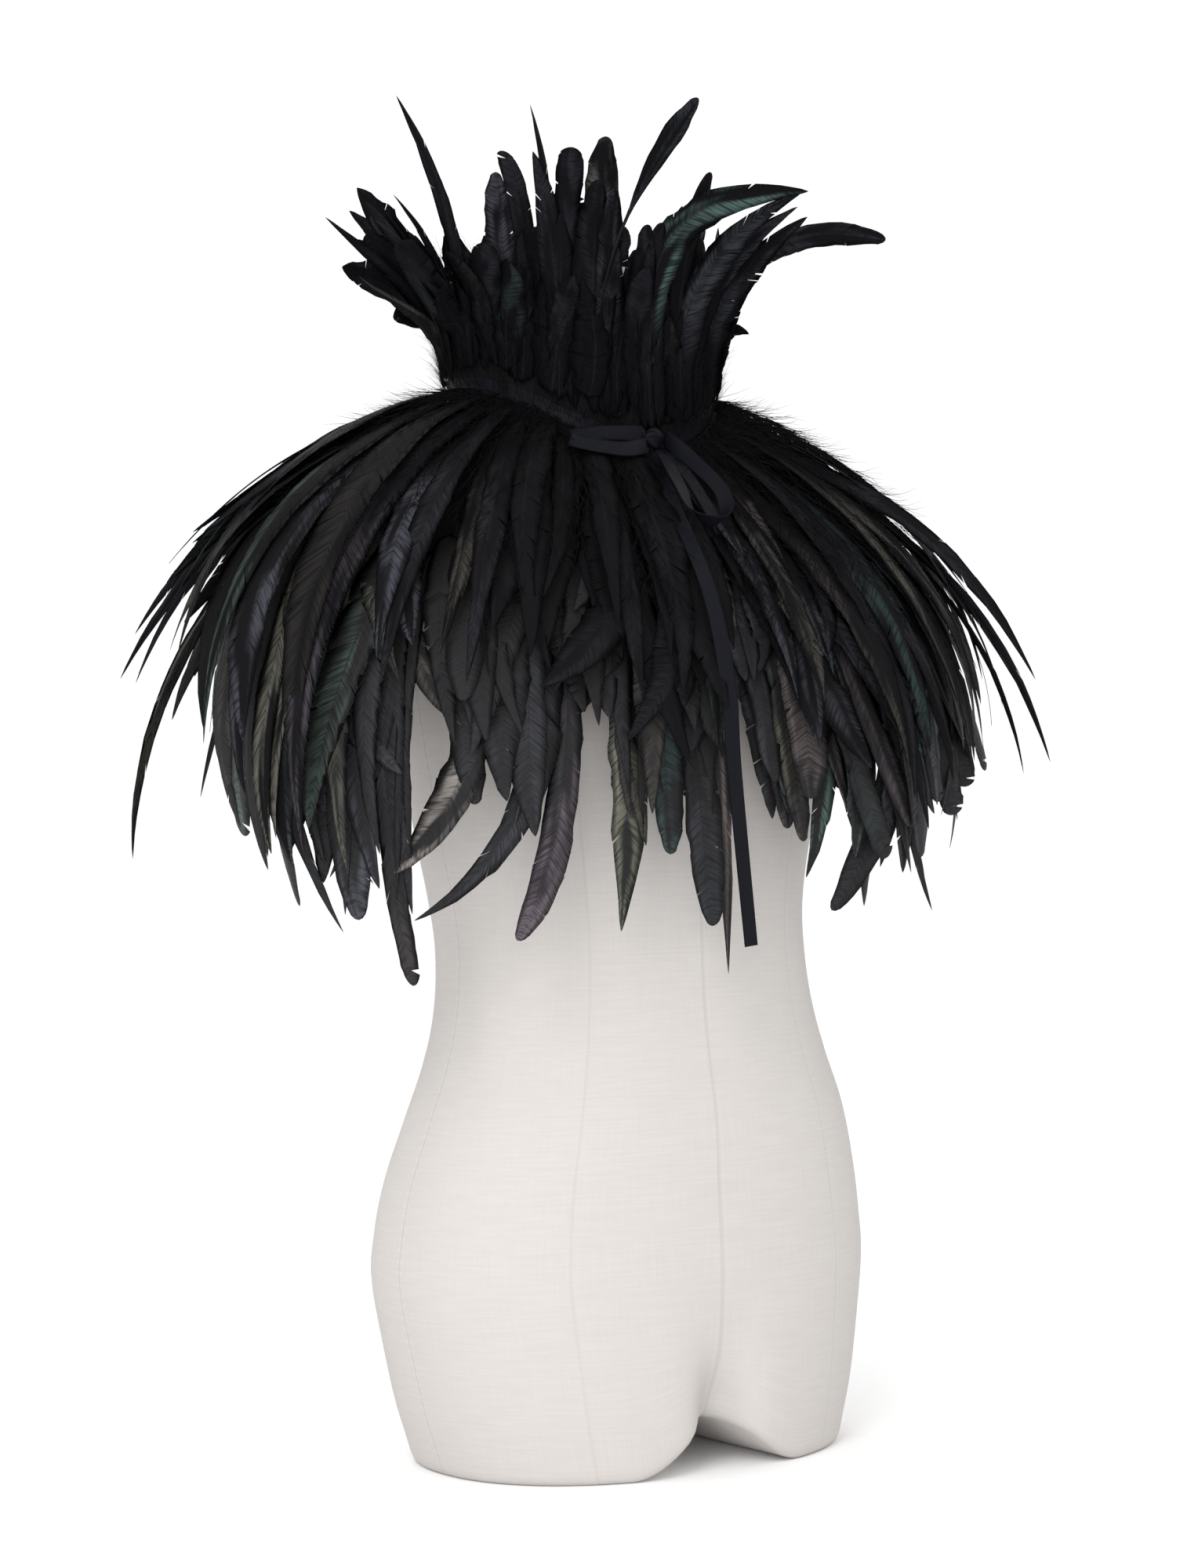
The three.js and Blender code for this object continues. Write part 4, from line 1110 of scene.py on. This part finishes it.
loneCollarFeathers = {
    # side, angle, root, length, width, flare, droop, swing, twist, shape, the painted sheen's hue, and how
    # much sheen is painted
    "tallThinLeft": ("outer", 279, 14, 160, 11, -28, 0, -7, 50, "slim", 0.3, 0.1),
    "leftFan": ("outer", 244, 14, 124, 27, -4, 0, -3, 62, "broad", 0.3, 0.1),
    "leftFanLow": ("outer", 240, 14, 112, 27, 22, 24, 3, 56, "broad", 0.3, 0.1),
    "leftFanTop": ("outer", 232, 14, 118, 25, 8, 0, 5, 64, "ragged", 0.3, 0.2),
    "leftWisp": ("outer", 250, 14, 128, 12, 26, 8, 0, 60, "pointed", 0.3, 0.1),
    "leftFine": ("outer", 262, 14, 118, 8, 6, 0, -4, 30, "pointed", 0.3, 0.1),
    "leftFineSecond": ("outer", 272, 14, 116, 9, 4, 0, -6, 30, "pointed", 0.3, 0.1),
    "frontLeftWide": ("outer", 318, 14, 150, 24, 8, 0, -5, 8, "ragged", 0.3, 0.2),
    "frontGrey": ("outer", 300, 14, 132, 20, 10, 0, 2, 10, "rounded", 0.36, 0.7),
    "frontTwin": ("outer", 323, 14, 160, 19, 6, 0, 2, -10, "notched", 0.3, 0.2),
    "frontBlue": ("outer", 339, 14, 144, 16, 8, 0, 1, 8, "rounded", 0.4, 0.5),
    "frontRound": ("outer", 333, 14, 146, 26, 8, 0, 1, 8, "rounded", 0.3, 0.1),
    "spoonTall": ("outer", 341, 13, 206, 19, 22, 0, 30, 10, "spoon", 0.30, 0.3),
    "broadRight": ("outer", 16, 13, 158, 22, 10, 0, 8, 6, "rounded", 0.3, 0.1),
    "archRight": ("outer", 22, 13, 166, 22, 42, 22, 24, -76, "ragged", 0.3, 0.4),
    "archRightTop": ("outer", 5, 13, 238, 25, 32, 95, 36, -75, "broad", 0.10, 0.9),
    "archRightThird": ("outer", 40, 13, 134, 23, 52, 6, 6, -80, "ragged", 0.3, 0.3),
    "archRightSecond": ("outer", 30, 13, 144, 17, 46, 10, 14, -70, "slim", 0.3, 0.3),
    "archRightGreen": ("outer", 1, 13, 140, 20, 6, 0, 12, 10, "broad", 0.06, 0.7),
    "levelRight": ("outer", 53, 13, 186, 24, 83, 62, 0, 76, "rounded", 0.34, 0.5),
    "levelRightRagged": ("outer", 56, 13, 84, 22, 15, 10, 0, 70, "wisp", 0.3, 0.2),
    "droopRight": ("outer", 70, 13, 70, 22, 14, 30, -4, 70, "pointed", 0.3, 0.1),
    "leftFanFront": ("outer", 272, 14, 104, 26, 20, 10, 4, -30, "rounded", 0.3, 0.1),
    "leftFanMiddle": ("outer", 264, 14, 112, 26, 14, 6, -3, -44, "broad", 0.3, 0.1),
    "leftFanDark": ("outer", 248, 14, 106, 26, 12, 6, 2, 50, "rounded", 0.3, 0.1),
    "leftFanWide": ("outer", 256, 14, 118, 26, 12, 0, 2, -60, "broad", 0.3, 0.1),
    "leftFanBack": ("outer", 222, 14, 112, 24, 16, 4, 2, 70, "ragged", 0.3, 0.1),
    "overOpening": ("outer", 0, 13, 130, 22, 8, 0, 2, 6, "rounded", 0.3, 0.1),
    "overOpeningLow": ("outer", 357, 13, 128, 20, 8, 0, -2, -6, "rounded", 0.3, 0.2),
    "backRight": ("outer", 118, 13, 132, 20, 22, 0, 4, 10, "rounded", 0.3, 0.2),
    "backWide": ("inner", 136, 9, 142, 28, 46, 0, 0, 6, "rounded", 0.95, 0.5),
    "backBlade": ("inner", 160, 9, 150, 14, 60, 0, 0, 30, "pointed", 0.3, 0.1),
    "backNotched": ("inner", 172, 9, 128, 20, 44, 0, 0, 10, "notched", 0.3, 0.2),
    "backTwin": ("inner", 150, 9, 134, 15, 42, 0, 0, -14, "notched", 0.3, 0.2),
}


def innerCollarPoint(degrees, rise):
    place, outward, ahead, sideways = spot(collarPoint, degrees, rise)
    return place - outward * 1.5


def collarRow(name, size):
    random = np.random.default_rng(size["seed"])
    surface = collarPoint if size["facing"] > 0 else innerCollarPoint
    strands = []
    for i in range(size["count"]):
        degrees = 360 * (i + 0.5 + 0.6 * (random.random() - 0.5)) / size["count"]
        bearing = bearingOf(degrees)
        layer = size["lift"] + random.random() * 3.0
        start = size["start"] + size["spread"] * random.random()
        top = np.interp(bearing, collarTop["angle"], collarTop["rise"]) * (0.60 + 0.42 * random.random())
        out = np.interp(bearing, collarTop["angle"], collarTop["out"]) * (0.1 + random.random() ** 1.4)
        strands.append(featherOn(surface, size["facing"], {
            "degrees": degrees, "start": start, "length": max(50.0, top - start),
            "width": size["width"] * (0.7 + 0.45 * random.random()),
            "lift": lambda along, layer=layer: layer, "flare": size["flare"] * out, "freeFrom": 0.35,
            "swing": 16.0 * (random.random() - 0.5), "twist": (24 + 1.5 * out) * (random.random() - 0.5),
            "bow": 9.0 * (random.random() - 0.5), "shape": pickShape(random, collarShapes),
            "tone": pickTone(random, size["sheen"], "right"), "cup": 0.01 + 0.05 * random.random(),
        }))
    for lone in loneCollarFeathers.values():
        side, degrees, start, length, width, flare, droop, swing, twist, shape, hue, sheen = lone
        if side == name:
            strands.append(featherOn(surface, size["facing"], {
                "degrees": degrees, "start": start, "length": length, "width": width,
                "lift": lambda along: size["lift"] + 2.4, "flare": flare, "droop": droop, "freeFrom": 0.3,
                "swing": swing, "bow": -0.3 * swing, "twist": twist, "shape": shape,
                "tone": toneOf(degrees, hue, sheen), "cup": 0.05,
                **({"bends": 1.6} if degrees < 60 else {}),  # those on the right arch over evenly
            }))
    return strands


for name, size in collarRows.items():
    strands = collarRow(name, size)
    mesh = layStrands("collarFeathers_" + name, strands, strandTree, bladeBlanks, featherFinish["collar"])
    collarPiece = makeObject("collarFeathers_" + name, mesh)
    settle(collarPiece, ["collar_feathers_" + name])
print("collar feathers made")


ribbonPaths = {
    # angle round the neck, out, up, then how the width runs: round, up and away
    "ribbon_loop_left": [
        (-5.4, 83, 643, 0, 1, 0.1), (-16, 86.5, 643, 0, 1, -0.2), (-27, 95, 642, 0.1, 1, -0.6),
        (-36, 108.5, 638.5, 0.2, 1, -0.7), (-33, 114, 635, 0.2, 1, -0.7), (-19, 104, 631.5, 0.1, 1, -0.5),
        (-6, 90.5, 635, 0, 1, -0.2),
    ],
    "ribbon_loop_right": [
        (5.4, 84.5, 641, -0.2, 1, 0), (6, 109, 625, 0.7, 0.6, 0.3), (5.5, 139, 602, 0.8, 0.2, 0.6),
        (1, 152, 584, 0.1, 0.5, 0.8), (-6, 149, 589, -0.7, 0.3, 0.6), (-6, 132, 607, -1, 0.1, 0.2),
        (-1.5, 97, 630, -1, 0.2, 0),
    ],
    "ribbon_tail_long": [
        (-3.2, 83.4, 633.3, 1, 0, 0), (-5, 101, 617, 1, 0.1, 0), (-7.5, 132, 592, 1, 0, 0),
        (-8, 178, 538, 1, 0, 0.1), (-8, 199, 482, 1, 0.06, 0.1), (-7.5, 201, 430, 1, -0.05, -0.1),
        (-5, 200, 326, 1, 0, -0.2),
    ],
    "ribbon_tail_short": [
        (4.2, 83.7, 633.5, 1, 0, 0), (4.6, 105, 618, 1, 0, 0), (3.6, 132, 591, 1, 0, 0),
        (3.4, 144, 576, 1, 0, 0),
    ],
}
ribbonSize = {"wide": 10.0, "thick": 0.6, "curl": 0.25}


def throughPoints(points, count):
    # an even walk along a smooth curve through the points
    points = np.asarray(points, float)
    last = len(points) - 1
    places = np.linspace(0, last, last * 24 + 1)
    fine = np.stack([smoothColumn(points[:, i], places) for i in range(points.shape[1])], 1)
    walked = np.concatenate([[0], np.cumsum(np.linalg.norm(np.diff(fine[:, :3], axis=0), axis=1))])
    even = np.linspace(0, walked[-1], count)
    return np.stack([np.interp(even, walked, fine[:, i]) for i in range(fine.shape[1])], 1), walked[-1]


def ribbonPiece(node, path, count):
    rows = []
    for degrees, out, up, level, rise, away in path:
        turn = math.radians(degrees)
        wide = np.array([math.cos(turn), math.sin(turn), 0]) * level
        wide += np.array([math.sin(turn), -math.cos(turn), 0]) * away + np.array([0, 0, rise])
        rows.append(np.concatenate([around(degrees, out, up), unit(wide)]))
    line, length = throughPoints(rows, count)
    upper, lower, uv = [], [], []
    across = np.linspace(-1, 1, 9)
    for i in range(count):
        ahead = unit(line[min(i + 1, count - 1), :3] - line[max(i - 1, 0), :3])
        side = line[i, 3:] - ahead * (line[i, 3:] @ ahead)
        side = unit(side)
        normal = np.cross(ahead, side)
        curl = ribbonSize["curl"] * math.sin(i * 0.33) * (1 - across * across)
        for grid, lift in ((upper, 0.5), (lower, -0.5)):
            grid.append([line[i, :3] + side * a * ribbonSize["wide"] / 2
                         + normal * (lift * ribbonSize["thick"] + c) for a, c in zip(across, curl)])
        uv.append([((a + 1) / 2, length * mm * i / (count - 1)) for a in across])
    points = np.concatenate([np.array(upper).reshape(-1, 3), np.array(lower).reshape(-1, 3)])
    flat = np.tile(np.array(uv).reshape(-1, 2), (2, 1))
    faces = shellFaces(count, 9, count * 9)
    mesh = makeMesh(node, points, faces, satinFinish, flat, "ribbonRun")
    words = node.split("_")
    piece = makeObject(words[0] + "".join(word.title() for word in words[1:]), turnOutwards(mesh))
    settle(piece, [node])


for node, path in ribbonPaths.items():
    ribbonPiece(node, path, 90)

knotSize = {"out": 83.4, "up": 640.0, "half": (7.0, 4.0, 6.5)}  # half its size across, deep and high


def buildKnot():
    # the tied middle: a rounded lump with the ribbon's folds across it
    rows, columns = 25, 36
    points, uv, faces = [], [], []
    for r in range(rows):
        along = -1 + 2 * r / (rows - 1)
        size = math.sqrt(max(0.04, 1 - abs(along) ** 3)) * (0.86 + 0.14 * math.cos(along * 3))
        for c in range(columns):
            turn = 2 * math.pi * c / columns
            fold = 1 + 0.12 * math.sin(turn * 5 + along * 3.0)
            forward = knotSize["out"] + knotSize["half"][1] * size * fold * math.cos(turn)
            place = around(0, forward, knotSize["up"] + knotSize["half"][2] * size * fold * math.sin(turn))
            points.append(place + np.array([along * knotSize["half"][0], 0, 0]))
            uv.append((c / columns, along * knotSize["half"][0] * mm))
    for r in range(rows - 1):
        for c in range(columns):
            n = (c + 1) % columns
            faces.append([r * columns + c, r * columns + n, (r + 1) * columns + n, (r + 1) * columns + c])
    faces.append(list(range(columns))[::-1])
    faces.append(list(range((rows - 1) * columns, rows * columns)))
    mesh = makeMesh("ribbonKnot", points, faces, satinFinish, uv, "ribbonRun")
    return makeObject("ribbonKnot", turnOutwards(mesh))


settle(buildKnot(), ["ribbon_knot"])
print("ribbons made")


featherDown = {
    # crowd draws the hairs towards the neck; out and rises say how high above the cloth they start
    "cape": {
        "hairs": 9500, "length": 24.0, "width": 1.2, "from": -2.0, "reach": 142.0,
        "crowd": 1.8, "out": 6.2, "rises": 0.2, "seed": 77,
    },
    "collar": {
        "hairs": 6500, "length": 17.0, "width": 0.7, "from": 5.0, "reach": 80.0,
        "crowd": 1.3, "out": 3.6, "rises": 0.01, "seed": 78,
    },
}


def looseHair(place, heading, random, length, width, tone):
    side = unit(np.cross(heading, random.normal(size=3)))
    bend = unit(np.cross(heading, side))
    curl, sway = random.normal() * 0.25, random.normal() * 0.18
    points = [place + heading * length * v + bend * length * curl * v * v + side * length * sway * v ** 3
              for v in (0, 1 / 3, 2 / 3, 1)]
    return strandAlong(points, side, side, width, 0, tone, 0.0)


def downStrands(surface, size):
    # soft barbs that hide the quills, thickest at the roots
    random = np.random.default_rng(size["seed"])
    strands = []
    for i in range(size["hairs"]):
        along = size["from"] + size["reach"] * random.random() ** size["crowd"]
        place, outward, ahead, sideways = spot(surface, 3 + 354 * random.random(), along)
        stands = 0.05 + 0.5 * random.random() ** 2 + (0.8 * random.random() if i % 9 == 0 else 0)
        heading = unit(outward * stands + ahead * 1.2 + sideways * random.normal() * 0.35)
        place = place + outward * (size["out"] + size["rises"] * along)
        length = size["length"] * (0.45 + 0.8 * random.random())
        strands.append(looseHair(place, heading, random, length, size["width"], (0.3, 0.1, 0.5)))
    return strands


for name, surface in (("cape", capePoint), ("collar", collarPoint)):
    size = featherDown[name]
    hairs = downStrands(surface, size)
    downMesh = layStrands(name + "Down", hairs, strandTree, hairBlanks, downFinish, size["width"] * mm)
    downPiece = makeObject(name + "Down", downMesh)
    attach(downPiece, onePiece)
print("down made")


def stageMaterial():
    material, g = newMaterial("paleFloor")
    finishMaterial(g, {"Base Color": rgb(0.985, 0.985, 0.985), "Roughness": 0.9, "Specular IOR Level": 0.1})
    return material


studio = {
    "floor": 60.0,  # metres
    "world": 1.03,
    "lamps": {  # where each stands, its watts and its width
        "keyLight": ((-2.2, -2.0, 2.6), 40.0, 1.4),
        "fillLight": ((-1.7, -2.2, 0.45), 28.0, 1.6),
        "rimLight": ((0.6, 2.4, 2.4), 10.0, 1.2),
    },
}
half = studio["floor"] / 2
floorCorners = [(x * half, y * half, 0) for x, y in ((-1, -1), (1, -1), (1, 1), (-1, 1))]
floorMesh = bpy.data.meshes.new("studioFloor")
floorMesh.from_pydata(floorCorners, [], [(0, 1, 2, 3)])
floorMesh.materials.append(stageMaterial())
floorPiece = makeObject("studioFloor", floorMesh)

world = bpy.data.worlds.new("studioWorld")
world.use_nodes = True
world.node_tree.nodes.clear()
w = Graph(world.node_tree)
light = w.add("ShaderNodeBackground", {}, [rgb(1.0, 1.0, 1.0), studio["world"]])
w.add("ShaderNodeOutputWorld", {}, {"Surface": light})
bpy.context.scene.world = world


def softbox(name, place, power, size):
    lamp = bpy.data.lights.new(name, "AREA")
    lamp.energy, lamp.size, lamp.shape = power, size, "SQUARE"
    holder = bpy.data.objects.new(name, lamp)
    bpy.context.scene.collection.objects.link(holder)
    target = Vector((0, 0, 0.5))
    holder.location = place
    holder.rotation_euler = (target - Vector(place)).to_track_quat("-Z", "Y").to_euler()


for name, (place, power, size) in studio["lamps"].items():
    softbox(name, place, power, size)

view = {
    "turn": -33.0,  # degrees round from the front
    "roll": 1.5,
    "away": 2300.0,
    "height": 425.0,
    "aside": -8.5,
    "lens": 82.6,
}


def placeCamera():
    camera = bpy.data.cameras.new("photoCamera")
    camera.lens, camera.sensor_width = view["lens"], 36.0
    holder = bpy.data.objects.new("photoCamera", camera)
    bpy.context.scene.collection.objects.link(holder)
    turn = math.radians(view["turn"])
    back = Vector((math.sin(turn), -math.cos(turn), 0))
    right = Vector((math.cos(turn), math.sin(turn), 0))
    aim = Vector((0, middleShiftY * mm, view["height"] * mm)) + right * view["aside"] * mm
    holder.location = aim + back * view["away"] * mm
    look = (-back).to_track_quat("-Z", "Y").to_matrix()
    holder.rotation_euler = (look @ Matrix.Rotation(math.radians(-view["roll"]), 3, "Z")).to_euler()
    camera.clip_start, camera.clip_end = 0.05, 50
    bpy.context.scene.camera = holder


placeCamera()
bpy.context.scene.view_settings.view_transform = "Standard"
print("floor, light and camera set")
